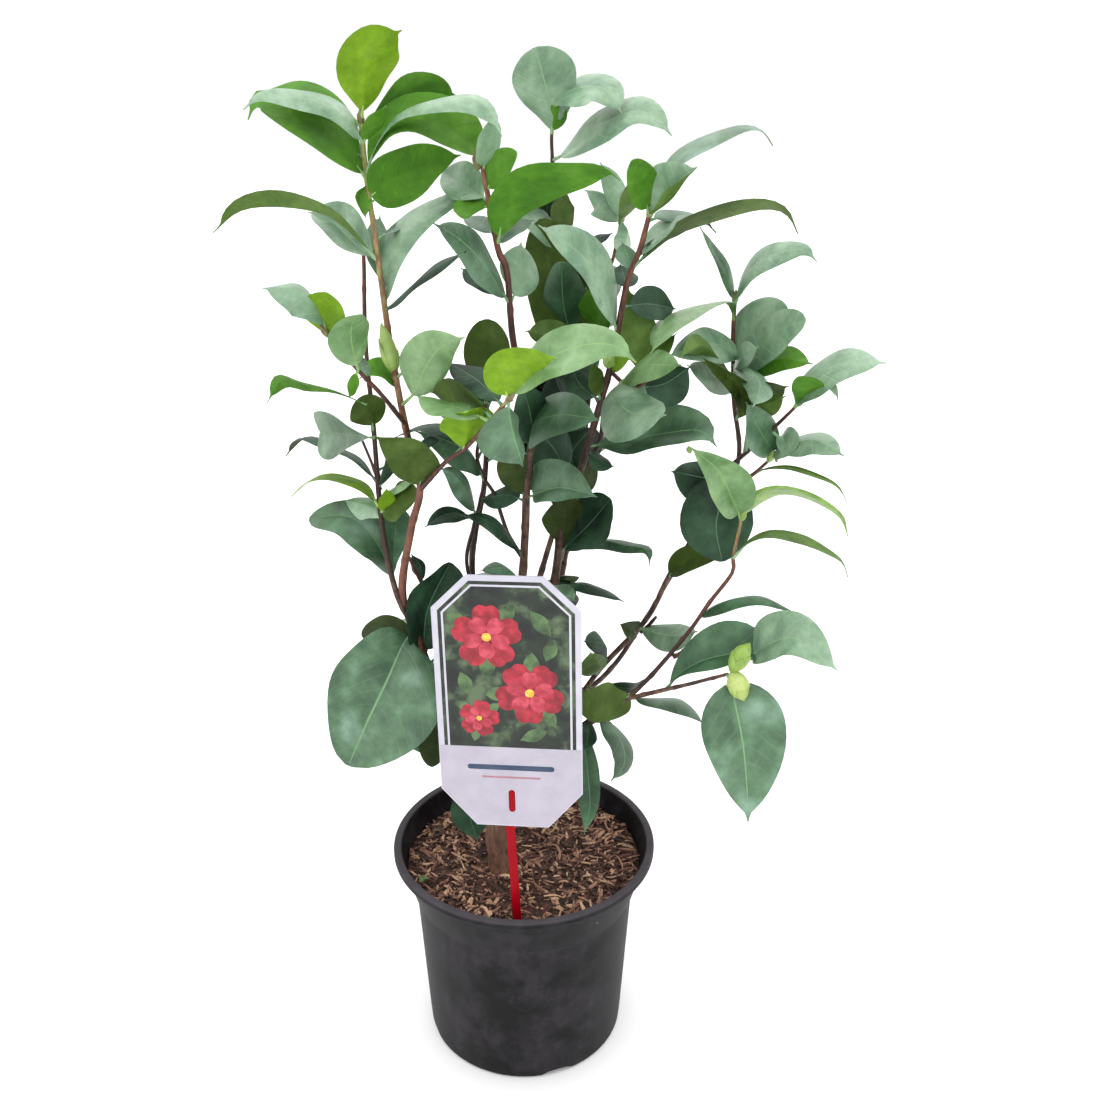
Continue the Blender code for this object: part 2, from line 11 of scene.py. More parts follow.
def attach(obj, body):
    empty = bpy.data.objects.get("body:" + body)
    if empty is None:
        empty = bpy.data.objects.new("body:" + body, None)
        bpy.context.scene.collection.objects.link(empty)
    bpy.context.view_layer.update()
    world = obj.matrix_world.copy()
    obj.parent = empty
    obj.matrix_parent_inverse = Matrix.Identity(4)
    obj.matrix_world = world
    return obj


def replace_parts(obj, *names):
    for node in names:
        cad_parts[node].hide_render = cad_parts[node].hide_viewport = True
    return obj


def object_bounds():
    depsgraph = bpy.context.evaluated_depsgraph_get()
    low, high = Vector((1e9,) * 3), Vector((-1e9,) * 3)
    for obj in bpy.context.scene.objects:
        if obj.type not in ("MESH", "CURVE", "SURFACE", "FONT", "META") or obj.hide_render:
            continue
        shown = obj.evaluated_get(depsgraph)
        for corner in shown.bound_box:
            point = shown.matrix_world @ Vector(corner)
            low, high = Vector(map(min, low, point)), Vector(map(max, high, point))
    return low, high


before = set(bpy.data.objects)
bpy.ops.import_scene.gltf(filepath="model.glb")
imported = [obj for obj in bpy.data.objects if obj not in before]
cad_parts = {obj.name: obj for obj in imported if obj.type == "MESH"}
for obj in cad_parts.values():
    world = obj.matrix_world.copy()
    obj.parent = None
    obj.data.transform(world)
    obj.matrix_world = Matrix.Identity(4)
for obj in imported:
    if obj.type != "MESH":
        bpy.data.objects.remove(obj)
cad_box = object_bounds()


# ---- Viewer and studio ------------------------------------------------------------------------------
# The viewer stands level with the shrub's top and looks down on it. It stands on white board, under a
# wide overcast sky that is brightest overhead, so that leaves shine grey where they face up.
MM = 0.001
VIEWER = Vector((0.017, -0.654, 0.62))
VIEWER_PITCH = math.radians(22.7)
PICTURE_SIDE = 1100
PICTURE_FOCAL = 1200
SENSOR = 36
ALONG_VIEW = Vector((0, math.cos(VIEWER_PITCH), -math.sin(VIEWER_PITCH)))
UP_VIEW = Vector((0, math.sin(VIEWER_PITCH), math.cos(VIEWER_PITCH)))


def linear(code):
    """A colour given as sRGB hex, as the linear colour that a shader wants."""
    parts = [int(code[i:i + 2], 16) / 255 for i in (1, 3, 5)]
    return (*[p / 12.92 if p <= 0.04045 else ((p + 0.055) / 1.055) ** 2.4 for p in parts], 1.0)


def feed(tree, made, inputs):
    """Gives each input of a node a value, a socket, or another node for the first output it has in use."""
    for name, value in inputs.items():
        if isinstance(value, bpy.types.Node):
            value = next(output for output in value.outputs if output.enabled)
        if isinstance(value, bpy.types.NodeSocket):
            tree.links.new(value, made.inputs[name])
        else:
            made.inputs[name].default_value = value


def node(tree, kind, inputs=None, stops=(), **settings):
    """Adds a node with its inputs and settings, and a ramp's stops, each a place and an sRGB colour."""
    made = tree.nodes.new("ShaderNode" + kind)
    for name, value in settings.items():
        setattr(made, name, value)
    feed(tree, made, inputs or {})
    if stops:
        ends = made.color_ramp.elements
        ends[0].position, ends[1].position = stops[0][0], stops[-1][0]
        ends[0].color, ends[1].color = linear(stops[0][1]), linear(stops[-1][1])
    for place, code in stops[1:-1]:
        ends.new(place).color = linear(code)
    return made


def finish_named(name):
    """A new material, its node tree, its shader and its object coordinates."""
    made = bpy.data.materials.new(name)
    made.use_nodes = True
    tree = made.node_tree
    return made, tree, tree.nodes["Principled BSDF"], node(tree, "TexCoord").outputs["Object"]


bpy.ops.object.select_all(action="DESELECT")
bpy.ops.object.camera_add(location=VIEWER, rotation=(math.pi / 2 - VIEWER_PITCH, 0, 0))
camera = bpy.context.object
camera.name = "viewer"
camera.data.sensor_width = SENSOR
camera.data.lens = SENSOR * PICTURE_FOCAL / PICTURE_SIDE
camera.data.clip_start = 0.01
bpy.context.scene.camera = camera
bpy.context.scene.view_settings.view_transform = "Standard"

sky = bpy.data.worlds.new("overcast sky")
bpy.context.scene.world = sky
sky.use_nodes = True
sky_way = node(sky.node_tree, "TexCoord").outputs["Generated"]
sky_height = node(sky.node_tree, "SeparateXYZ", {"Vector": sky_way}).outputs["Z"]
sky_light = node(sky.node_tree, "MapRange", {"Value": sky_height, "From Min": 0.1, "From Max": 0.85,
    "To Min": 1.03, "To Max": 1.9}, interpolation_type="SMOOTHSTEP")
sky_shader = sky.node_tree.nodes["Background"]
feed(sky.node_tree, sky_shader, {"Color": linear("#ffffff"), "Strength": sky_light})

FLOOR_SIDE = 12.0
bpy.ops.mesh.primitive_grid_add(x_subdivisions=8, y_subdivisions=8, size=FLOOR_SIDE, location=(0, 0, 0))
floor = bpy.context.object
floor.name = "floor"
# Matt white board: its own light colour, with no grain that would show at this distance.
board, board_tree, board_shader, _ = finish_named("matt white board")
board_grain = node(board_tree, "TexNoise", {"Scale": 400.0, "Detail": 2.0})
board_bump = node(board_tree, "Bump", {"Strength": 0.05, "Distance": 0.0002, "Height": board_grain})
feed(board_tree, board_shader, {"Base Color": linear("#fafafa"), "Roughness": 0.9, "Normal": board_bump})
floor.data.materials.append(board)


# ---- Pot --------------------------------------------------------------------------------------------
# A thin-walled nursery pot, blow-moulded from recycled black polypropylene: a flange lip, a conical
# collar with a shoulder under it, a wall that narrows to a rounded foot, and arched notches for drainage.
POT_HEIGHT = 142 * MM
RIM_RADIUS = 85 * MM
FOOT_RADIUS = 65 * MM
WALL = 1.5 * MM
LIP_DROP = 4.6 * MM
LIP_WIDTH = 4.5 * MM
SHOULDER_HEIGHT = 110 * MM
SHOULDER_RADIUS = 71.5 * MM
COLLAR_STEP = 1.8 * MM
POT_SIDES = 144
NOTCHES = 4
NOTCH_TURN = math.radians(-70)
NOTCH_WIDTH = 22 * MM
NOTCH_RISE = 4.5 * MM


def select_only(*things):
    """Deselects everything, then selects these, the first one active."""
    bpy.ops.object.select_all(action="DESELECT")
    for thing in things:
        thing.select_set(True)
    bpy.context.view_layer.objects.active = things[0]


def edit_all():
    """Opens the active object for editing, with all of it selected."""
    bpy.ops.object.mode_set(mode="EDIT")
    bpy.ops.mesh.select_all(action="SELECT")


def face_outward(piece):
    """Turns the faces of a closed piece outward."""
    select_only(piece)
    edit_all()
    bpy.ops.mesh.normals_make_consistent(inside=False)
    bpy.ops.object.mode_set(mode="OBJECT")


def arc(centre_r, centre_z, radius, start, end, steps):
    """Points of a rounded corner in the pot's profile, its angles in degrees."""
    turns = [math.radians(start + (end - start) * i / steps) for i in range(steps + 1)]
    return [(centre_r + radius * math.cos(t), centre_z + radius * math.sin(t)) for t in turns]


def pot_profile():
    """Radius and height from the underside out, up the wall, over the lip and down inside."""
    collar = SHOULDER_RADIUS + COLLAR_STEP
    neck = RIM_RADIUS - LIP_WIDTH
    lip = POT_HEIGHT - LIP_DROP
    outer = arc(FOOT_RADIUS - 3 * MM, 3 * MM, 3 * MM, -90, 0, 6)
    outer += [(FOOT_RADIUS + 0.7 * MM, 12 * MM), (SHOULDER_RADIUS - 0.3 * MM, SHOULDER_HEIGHT - 4 * MM)]
    outer += [(SHOULDER_RADIUS, SHOULDER_HEIGHT - 1.2 * MM)]
    outer += [(SHOULDER_RADIUS + 0.5 * MM, SHOULDER_HEIGHT - 0.3 * MM)]
    outer += [(collar - 0.3 * MM, SHOULDER_HEIGHT + 0.5 * MM), (collar, SHOULDER_HEIGHT + 1.6 * MM)]
    outer += [(neck - 0.4 * MM, lip - 3 * MM), (neck + 0.2 * MM, lip - 1 * MM)]
    outer += [(neck + 0.9 * MM, lip - 0.2 * MM)]
    outer += [(RIM_RADIUS - 1.4 * MM, lip)]
    outer += arc(RIM_RADIUS - 0.9 * MM, lip + 0.9 * MM, 0.9 * MM, -70, 0, 3)
    outer += arc(RIM_RADIUS - 1.3 * MM, POT_HEIGHT - 1.3 * MM, 1.3 * MM, 0, 90, 4)
    inner = arc(neck + 0.6 * MM, POT_HEIGHT - 1.2 * MM, 1.2 * MM, 90, 180, 4)
    inner += [(neck - WALL, lip - 3 * MM), (collar - WALL, SHOULDER_HEIGHT + 1.6 * MM)]
    inner += [(SHOULDER_RADIUS - WALL, SHOULDER_HEIGHT - 1.2 * MM), (FOOT_RADIUS - WALL, 12 * MM)]
    inner += [(FOOT_RADIUS - 5 * MM, 2 * MM)]
    return outer + inner


profile = pot_profile()
bpy.ops.object.select_all(action="DESELECT")
bpy.ops.mesh.primitive_circle_add(vertices=POT_SIDES, radius=profile[0][0], fill_type="NGON",
    location=(0, 0, 0))
pot = bpy.context.object
pot.name = "pot_shell"
edit_all()
for (radius, height), (next_radius, next_height) in zip(profile, profile[1:]):
    bpy.ops.mesh.extrude_region_move(TRANSFORM_OT_translate={"value": (0, 0, next_height - height)})
    ratio = next_radius / radius
    bpy.ops.transform.resize(value=(ratio, ratio, 1), center_override=(0, 0, 0))
bpy.ops.object.mode_set(mode="OBJECT")
face_outward(pot)
for number in range(NOTCHES):
    bearing = NOTCH_TURN + number * 2 * math.pi / NOTCHES
    place = Vector((math.cos(bearing), math.sin(bearing), 0)) * FOOT_RADIUS
    bpy.ops.object.select_all(action="DESELECT")
    bpy.ops.mesh.primitive_cylinder_add(vertices=32, radius=NOTCH_WIDTH / 2, depth=NOTCH_WIDTH,
        location=(0, 0, 0))
    arch = bpy.context.object
    arch.data.transform(Matrix.Rotation(math.pi / 2, 4, "Y"))
    arch.data.transform(Matrix.Diagonal((1, 1, NOTCH_RISE / (NOTCH_WIDTH / 2), 1)))
    arch.data.transform(Matrix.Translation(place) @ Matrix.Rotation(bearing, 4, "Z"))
    cutter = pot.modifiers.new("notch", "BOOLEAN")
    cutter.operation = "DIFFERENCE"
    cutter.object = arch
    select_only(pot)
    bpy.ops.object.modifier_apply(modifier=cutter.name)
    bpy.data.objects.remove(arch, do_unlink=True)
bpy.ops.object.shade_smooth_by_angle(angle=math.radians(32))

# Recycled polypropylene, as moulded: a dull charcoal with a slight silk, grey dust where hands and
# compost have rubbed it, a painted highlight along the top of the lip, and a waviness from the blow mould.
plastic, tree, shader, place_on = finish_named("recycled black polypropylene")
rubbed = node(tree, "TexNoise", {"Vector": place_on, "Scale": 38.0, "Detail": 6.0, "Roughness": 0.65})
streaks_at = node(tree, "Mapping", {"Vector": place_on, "Scale": (1.0, 1.0, 0.25)})
streaks = node(tree, "TexNoise", {"Vector": streaks_at, "Scale": 160.0, "Detail": 3.0})
dust_amount = node(tree, "MapRange", {"Value": rubbed, "From Min": 0.42, "From Max": 0.78})
dust_broken = node(tree, "Math", {0: dust_amount, 1: streaks}, operation="MULTIPLY")
specks = node(tree, "TexNoise", {"Vector": place_on, "Scale": 700.0, "Detail": 2.0})
speck_amount = node(tree, "MapRange", {"Value": specks, "From Min": 0.68, "From Max": 0.76, "To Max": 0.35})
place_parts = node(tree, "SeparateXYZ", {"Vector": place_on})
# A painted highlight: the top of the lip is made paler, added in with the dust.
lip_painted_highlight = node(tree, "MapRange", {"Value": place_parts.outputs["Z"], "From Min": POT_HEIGHT - 1.6 * MM,
    "From Max": POT_HEIGHT - 0.3 * MM, "To Max": 0.75})
dust_and_lip_highlight = node(tree, "Math", {0: dust_broken, 1: lip_painted_highlight}, operation="ADD")
dust_and_highlight = node(tree, "Math", {0: dust_and_lip_highlight, 1: speck_amount}, operation="ADD", use_clamp=True)
plastic_colour = node(tree, "Mix", {0: dust_and_highlight, 6: linear("#0b090c"), 7: linear("#4b474c")},
    data_type="RGBA")
dull = node(tree, "MapRange", {"Value": dust_and_highlight, "To Min": 0.52, "To Max": 0.85})
mould = node(tree, "TexNoise", {"Vector": place_on, "Scale": 55.0, "Detail": 2.0})
mould_bump = node(tree, "Bump", {"Strength": 0.35, "Distance": 0.0006, "Height": mould})
grain = node(tree, "TexNoise", {"Vector": place_on, "Scale": 1400.0, "Detail": 2.0})
grain_bump = node(tree, "Bump", {"Strength": 0.25, "Distance": 0.00015, "Height": grain,
    "Normal": mould_bump})
feed(tree, shader, {"Base Color": plastic_colour, "Roughness": dull, "Normal": grain_bump,
    "Specular IOR Level": 0.16})
pot.data.materials.append(plastic)
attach(pot, "root")
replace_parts(pot, "pot")


# ---- Compost ----------------------------------------------------------------------------------------
# The root ball under a mulch of composted bark: dark crumbs, with paler chips and splinters lying any
# way up on a low heap round the stem. A seedling weed has come up at the wall.
COMPOST_SIDES = 96
COMPOST_TOP = 128 * MM
HEAP = 2.5 * MM
COMPOST_RADIUS = 76.2
COMPOST_EDGE = 125.5
WALL_LINE = [(59.8, 2.6), (63.0, 12), (69.6, 108), (71.2, 112.5), (COMPOST_RADIUS, COMPOST_EDGE)]
TOP_RINGS = 35
TOP_RING_WIDTH = 2.1 * MM
CHIPS = 2600
CHIP_LENGTHS = (1.8, 2.2, 3, 3, 4, 5, 7, 9, 14)
CHIP_REACH = 75.5 * MM
TRUNK_FOOT = Vector((-14 * MM, -14 * MM, 0))
TRUNK_ROOM = 8 * MM
MARKED_CHIPS = ((618, 843, 13, 6, 0.92), (470, 905, 9, 3.5, 0.85), (560, 905, 12, 3, 0.8),
    (446, 822, 8, 4, 0.85))
CHIP_CORNERS = 5


def compost_level(x, y):
    """Height of the compost's top: a low heap round the stem that falls away to the wall."""
    wave = math.sin(x / (17 * MM)) * math.cos(y / (21 * MM) + 0.7)
    heap = math.exp(-((x + 16 * MM) ** 2 + (y + 14 * MM) ** 2) / (40 * MM) ** 2)
    return COMPOST_TOP + HEAP * (0.5 * wave + heap - 0.5)


def solid(name, places, faces):
    """A new object made of these places and faces."""
    mesh = bpy.data.meshes.new(name)
    mesh.from_pydata(places, [], faces)
    made = bpy.data.objects.new(name, mesh)
    bpy.context.scene.collection.objects.link(made)
    return made


def tube_faces(low, rings, corners):
    """The faces of a closed tube of rings, whose first corner has the number low."""
    faces = [tuple(low + corner for corner in reversed(range(corners)))]
    for ring in range(low, low + (rings - 1) * corners, corners):
        for corner in range(corners):
            after = (corner + 1) % corners
            faces.append((ring + corner, ring + after, ring + corners + after, ring + corners + corner))
    faces.append(tuple(low + (rings - 1) * corners + corner for corner in range(corners)))
    return faces


def seen(across, down, depth):
    """The place depth mm behind the pot's axis that the viewer sees at across, down in the picture."""
    middle = PICTURE_SIDE / 2
    aside = Vector((across - middle, 0, 0)) - UP_VIEW * (down - middle)
    ray = ALONG_VIEW + aside / PICTURE_FOCAL
    return VIEWER + ray * ((depth * MM - VIEWER.y) / ray.y)


def lies_at(across, down, height):
    """The place at one height that the viewer sees at across, down in the picture."""
    ray = seen(across, down, 0) - VIEWER
    return VIEWER + ray * ((height - VIEWER.z) / ray.z)


bpy.ops.object.select_all(action="DESELECT")
bpy.ops.mesh.primitive_circle_add(vertices=COMPOST_SIDES, radius=WALL_LINE[0][0] * MM, fill_type="NGON",
    location=(0, 0, WALL_LINE[0][1] * MM))
soil = bpy.context.object
soil.data.transform(Matrix.Translation(soil.location))
soil.location = (0, 0, 0)
soil.name = "compost_bed"
edit_all()
for (radius, height), (next_radius, next_height) in zip(WALL_LINE, WALL_LINE[1:]):
    bpy.ops.mesh.extrude_region_move(TRANSFORM_OT_translate={"value": (0, 0, (next_height - height) * MM)})
    bpy.ops.transform.resize(value=(next_radius / radius, next_radius / radius, 1),
        center_override=(0, 0, 0))
for ring in range(TOP_RINGS):
    bpy.ops.mesh.inset(thickness=TOP_RING_WIDTH, depth=0)
bpy.ops.object.mode_set(mode="OBJECT")
face_outward(soil)
for corner in soil.data.vertices:
    if corner.co.z > 125 * MM:
        x, y = corner.co.x, corner.co.y
        crumb = noise.fractal(Vector((x, y, 0)) * 160, 0.8, 2.2, 4) * 1.3 * MM
        edge = min(1.0, (COMPOST_RADIUS * MM - math.hypot(x, y)) / (6 * MM))
        corner.co.z = compost_level(x, y) - 1.2 * MM + crumb * edge
select_only(soil)
bpy.ops.object.shade_smooth_by_angle(angle=math.radians(50))

# Damp composted bark, dark to rust-brown. The colour follows the same noise as the bump, so the crumb's
# hollows are painted nearly black as shade and its tops rust-brown.
crumbs, tree, shader, place_on = finish_named("damp composted bark")
clods = node(tree, "TexNoise", {"Vector": place_on, "Scale": 260.0, "Detail": 6.0, "Roughness": 0.7})
cells = node(tree, "TexVoronoi", {"Vector": place_on, "Scale": 420.0})
crumb_ramp = node(tree, "ValToRGB", {"Fac": clods}, [(0.36, "#2b1d18"), (0.52, "#583b30"), (0.68,
    "#926a56")])
crumb_mix = node(tree, "Mix", {0: 0.6, 6: crumb_ramp, 7: cells.outputs["Color"]}, data_type="RGBA",
    blend_type="MULTIPLY")
crumb_bump = node(tree, "Bump", {"Strength": 1.0, "Distance": 0.0015, "Height": clods})
feed(tree, shader, {"Base Color": crumb_mix, "Normal": crumb_bump, "Roughness": 0.9})
soil.data.materials.append(crumbs)
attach(soil, "root")
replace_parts(soil, "compost")


def chip(middle, length, width, thickness, luck):
    """One torn splinter of bark: a bent bar with ragged ends."""
    turn = luck.uniform(0, math.pi)
    dip = math.radians(luck.gauss(0, 16))
    along = Vector((math.cos(turn) * math.cos(dip), math.sin(turn) * math.cos(dip), math.sin(dip)))
    side = Vector((-math.sin(turn), math.cos(turn), luck.uniform(-0.5, 0.5))).normalized()
    side = (side - along * side.dot(along)).normalized()
    up = along.cross(side)
    bend = luck.uniform(-0.12, 0.12) * length
    corners = []
    for stop, share in ((-0.5, luck.uniform(0.25, 0.7)), (-0.18, 1.0), (0.2, luck.uniform(0.75, 1.1)),
                        (0.5, luck.uniform(0.15, 0.6))):
        centre = middle + along * (stop * length) + side * (bend * (1 - 4 * stop * stop))
        for corner in range(CHIP_CORNERS):
            angle = 2 * math.pi * corner / CHIP_CORNERS
            ragged = luck.uniform(0.75, 1.25)
            corners.append(centre + along * (luck.uniform(-0.05, 0.05) * length)
                + side * (math.cos(angle) * width / 2 * share * ragged)
                + up * (math.sin(angle) * thickness / 2 * share * ragged))
    return corners


luck = random.Random(41)
places, faces, tones = [], [], []
chosen = [(lies_at(across, down, COMPOST_TOP), *size) for across, down, *size in MARKED_CHIPS]
while len(chosen) < CHIPS:
    reach = CHIP_REACH * math.sqrt(luck.random())
    bearing = luck.uniform(0, 2 * math.pi)
    place = Vector((reach * math.cos(bearing), reach * math.sin(bearing), 0))
    if (place - TRUNK_FOOT).length < TRUNK_ROOM:
        continue
    length = luck.choice(CHIP_LENGTHS) * luck.uniform(0.8, 1.3)
    length = min(length, 2 * (76 - reach / MM) + 3)
    chosen.append((place, length, min(length * 0.6, luck.uniform(0.7, 2.8)), luck.random() ** 1.05))
for place, length, width, tone in chosen:
    height = compost_level(place.x, place.y) + luck.uniform(-0.6, 0.9) * MM
    corners = chip(Vector((place.x, place.y, height)), length * MM, width * MM, luck.uniform(0.7, 1.7) * MM,
        luck)
    faces += tube_faces(len(places), 4, CHIP_CORNERS)
    places += corners
    tones += [tone] * len(corners)
chips = solid("bark_chips", places, faces)
chips.data.attributes.new("tone", "FLOAT", "POINT").data.foreach_set("value", tones)
chips.data.shade_smooth()
chips.data.set_sharp_from_angle(angle=math.radians(40))

# Torn bark: each chip its own brown, from wet and nearly black to dry straw, with fibres along it.
torn, tree, shader, place_on = finish_named("torn bark chips")
own_tone = node(tree, "Attribute", attribute_name="tone").outputs["Fac"]
fibres = node(tree, "TexNoise", {"Vector": place_on, "Scale": 850.0, "Detail": 4.0, "Roughness": 0.7})
shift = node(tree, "MapRange", {"Value": fibres, "From Min": 0.3, "From Max": 0.7, "To Min": -0.14,
    "To Max": 0.14})
tone_at = node(tree, "Math", {0: own_tone, 1: shift}, operation="ADD", use_clamp=True)
chip_ramp = node(tree, "ValToRGB", {"Fac": tone_at}, [(0.0, "#2c1d18"), (0.25, "#4b3029"), (0.52,
    "#795446"), (0.78, "#a98168"), (1.0, "#d3ad8c")])
chip_bump = node(tree, "Bump", {"Strength": 0.7, "Distance": 0.0004, "Height": fibres})
feed(tree, shader, {"Base Color": chip_ramp, "Normal": chip_bump, "Roughness": 0.85})
chips.data.materials.append(torn)
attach(chips, "root")

# The weed: a few round seed leaves on threads of stalk.
WEED_LEAVES = 5
WEED_SHOWS = (424, 882)
weed_at = lies_at(*WEED_SHOWS, COMPOST_TOP)
places, faces = [], []
for number in range(WEED_LEAVES):
    bearing = number * math.radians(137) + 1.0
    reach = (1.4 + 0.35 * number) * MM
    rise = (2.5 + 0.9 * (number % 3)) * MM
    way = Vector((math.cos(bearing), math.sin(bearing), 0.25)).normalized()
    over = Vector((-math.sin(bearing), math.cos(bearing), 0))
    foot = Vector((weed_at.x, weed_at.y, compost_level(weed_at.x, weed_at.y) - 1 * MM))
    head = foot + Vector((0, 0, rise)) + way * reach
    base = len(places)
    up = way.cross(over) * -0.25 * MM
    rim = [head + way * (1.7 * MM * math.cos(t)) + over * (1.2 * MM * math.sin(t))
        for t in [2 * math.pi * i / 10 for i in range(10)]]
    places += [p + up for p in rim] + [p - up for p in rim]
    places += [foot + over * 0.3 * MM, foot - over * 0.3 * MM, head + over * 0.25 * MM,
        head - over * 0.25 * MM, foot + way * 0.4 * MM, head + way * 0.3 * MM]
    faces.append(tuple(base + i for i in range(10)))
    faces.append(tuple(base + 19 - i for i in range(10)))
    faces += [(base + (i + 1) % 10, base + i, base + 10 + i, base + 10 + (i + 1) % 10) for i in range(10)]
    a, b, c, d, e, f = range(base + 20, base + 26)
    faces += [(a, b, d, c), (b, e, f, d), (e, a, c, f), (a, e, b), (c, d, f)]
weed = solid("weed_seedling", places, faces)
face_outward(weed)
moss, tree, shader, place_on = finish_named("seedling green")
blotch = node(tree, "TexNoise", {"Vector": place_on, "Scale": 600.0, "Detail": 2.0})
moss_mix = node(tree, "Mix", {0: blotch, 6: linear("#31501a"), 7: linear("#5d7d34")}, data_type="RGBA")
feed(tree, shader, {"Base Color": moss_mix, "Roughness": 0.5})
weed.data.materials.append(moss)
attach(weed, "root")


# ---- Trunk, stems and twigs -------------------------------------------------------------------------
# Living wood: a short grey-brown trunk with flaking bark, red-brown stems ringed where old leaves fell,
# and young shoots that are still tan or green.
LIMB_SIDES = 12
RING_STEP = 2.6 * MM
NODE_STEP = 27 * MM


def shows_at(place):
    """Where a place shows in the picture: across and down."""
    away = place - VIEWER
    scale = PICTURE_FOCAL / away.dot(ALONG_VIEW)
    return PICTURE_SIDE / 2 + away.x * scale, PICTURE_SIDE / 2 - away.dot(UP_VIEW) * scale


def mm(*points):
    """Places given in millimetres."""
    return [Vector(p) * MM for p in points]


def sights(*points):
    """Places given as the viewer sees them: across, down and depth."""
    return [seen(*p) for p in points]


def smooth_route(points, step):
    """Places about one step apart on a smooth curve through a limb's own points."""
    ends = [points[0] * 2 - points[1]] + points + [points[-1] * 2 - points[-2]]
    route = []
    for p0, p1, p2, p3 in zip(ends, ends[1:], ends[2:], ends[3:]):
        pieces = max(2, round((p2 - p1).length / step))
        for i in range(pieces):
            t = i / pieces
            route.append(0.5 * ((2 * p1) + (p2 - p0) * t + (2 * p0 - 5 * p1 + 4 * p2 - p3) * t * t
                + (3 * p1 - p0 - 3 * p2 + p3) * t ** 3))
    route.append(points[-1])
    return route


def distances(line):
    """How far along a line of places each of them lies."""
    return np.concatenate(([0], np.cumsum(np.linalg.norm(np.diff(line, axis=0), axis=1))))


def places_at(at, run, line):
    """The places that lie so far along a line."""
    return np.stack([np.interp(at, run, line[:, i]) for i in range(3)], axis=-1)


LIMBS = {}


class Limb:
    """One limb: its smooth route, its radius in mm at the foot and the tip, and its age from 1, old, to 0."""

    def __init__(self, name, foot_radius, tip_radius, old, young, points, flare=0.0):
        self.name = name
        self.route = smooth_route(points, RING_STEP)
        self.flare = flare
        count = len(self.route) - 1
        self.radii = [(foot_radius + (tip_radius - foot_radius) * i / count) * MM for i in range(count + 1)]
        self.ages = [old + (young - old) * (i / count) ** 3 for i in range(count + 1)]
        self.shown = np.array([shows_at(p) for p in self.route])
        LIMBS[name] = self

    def near(self, across, down):
        """The place on the limb that shows nearest to across, down in the picture."""
        gaps = np.hypot(self.shown[:, 0] - across, self.shown[:, 1] - down)
        return self.route[int(gaps.argmin())]

    def build(self):
        """The places of the limb's tube, with its bark relief, and the age at each."""
        luck = random.Random(self.name)
        places = []
        ages = []
        side = Vector((1, 0, 0))
        travelled = 0.0
        swirl = luck.uniform(0, 6)
        for index, centre in enumerate(self.route):
            after = self.route[min(index + 1, len(self.route) - 1)]
            before = self.route[max(index - 1, 0)]
            travelled += (centre - before).length
            along = (after - before).normalized()
            side = (side - along * side.dot(along)).normalized()
            other = along.cross(side)
            scar = math.exp(-((travelled / NODE_STEP % 1.0 - 0.5) * NODE_STEP / (1.6 * MM)) ** 2)
            spread = self.flare * MM * math.exp(-travelled / (9 * MM))
            for corner in range(LIMB_SIDES):
                turn = 2 * math.pi * corner / LIMB_SIDES
                way = side * math.cos(turn) + other * math.sin(turn)
                rough = noise.noise(Vector((math.cos(turn) * 2, math.sin(turn) * 2,
                    travelled / (7 * MM) + swirl)))
                lump = noise.noise(Vector((math.cos(turn), math.sin(turn),
                    travelled / (19 * MM) + swirl * 3)))
                size = self.radii[index] * (1 + 0.10 * rough * self.ages[index] + 0.09 * lump)
                size += scar * 0.38 * MM * (0.6 + 0.4 * math.cos(turn + index))
                size += spread * (1 + 0.6 * math.sin(3 * turn + swirl))
                places.append(centre + way * size)
                ages.append(self.ages[index])
        return places, ages


Limb("trunk", 7.4, 7.2, 1.0, 0.95, mm((-14, -14, 119), (-16, -13, 138), (-17, -12, 160), (-13, -10, 196)),
    1.5)
Limb("stem_centre", 3.1, 1.3, 0.95, 0.2, mm((-13, -10, 190), (-9, -10, 245), (1, -8, 336), (4, -15, 395),
    (7, -22, 432), (-2, -34, 478)) + sights((507, 272, -38), (498, 249, -38), (487, 191, -38),
    (480, 150, -38)))
Limb("stem_left", 3.0, 1.2, 0.42, 0.0, mm((-17, -14, 160), (-34, -22, 214), (-60, -30, 303),
    (-67, -33, 334), (-60, -35, 374), (-54, -36, 399), (-60, -36, 431), (-66, -35, 474), (-72, -32, 536))
    + sights((366, 175, -31), (361, 122, -30)))
Limb("stem_right", 3.5, 1.3, 0.9, 0.3, mm((-12, -8, 180), (6, 2, 248), (20, 7, 325), (25, 6, 372),
    (34, 0, 395), (45, -11, 440), (50, -16, 462), (57, -24, 506))
    + sights((640, 249, -27), (649, 216, -28)))
Limb("bough_right", 1.9, 1.2, 0.9, 0.4, mm((-14, -10, 170), (22, 2, 222), (47, 6, 262), (76, 8, 297),
    (90, 12, 326), (108, 17, 356), (128, 21, 393), (124, 25, 432), (122, 29, 470)) + sights((735, 301, 30)))
Limb("bough_right_front", 1.8, 0.9, 0.95, 0.05, mm((-14, -14, 178), (22, -30, 231), (62, -48, 274))
    + sights((682, 640, -49), (710, 602, -49), (732, 573, -48), (733, 558, -47), (737, 540, -46),
    (742, 515, -45)))
Limb("stem_back_left", 2.6, 1.3, 0.9, 0.4, mm((-15, -8, 172), (-22, 14, 240), (-31, 24, 324),
    (-23, 42, 376), (-22, 60, 430), (-27, 69, 464)))
Limb("stem_back_right", 2.6, 1.3, 0.9, 0.5, mm((-11, -6, 184), (12, 24, 250), (27, 40, 330), (38, 52, 400),
    (42, 66, 452), (40, 76, 496)))
Limb("stem_back_low", 2.2, 1.1, 0.9, 0.4, mm((-13, -6, 164), (4, 22, 206))
    + sights((604, 676, 44), (642, 624, 60), (672, 575, 72), (700, 530, 80)))
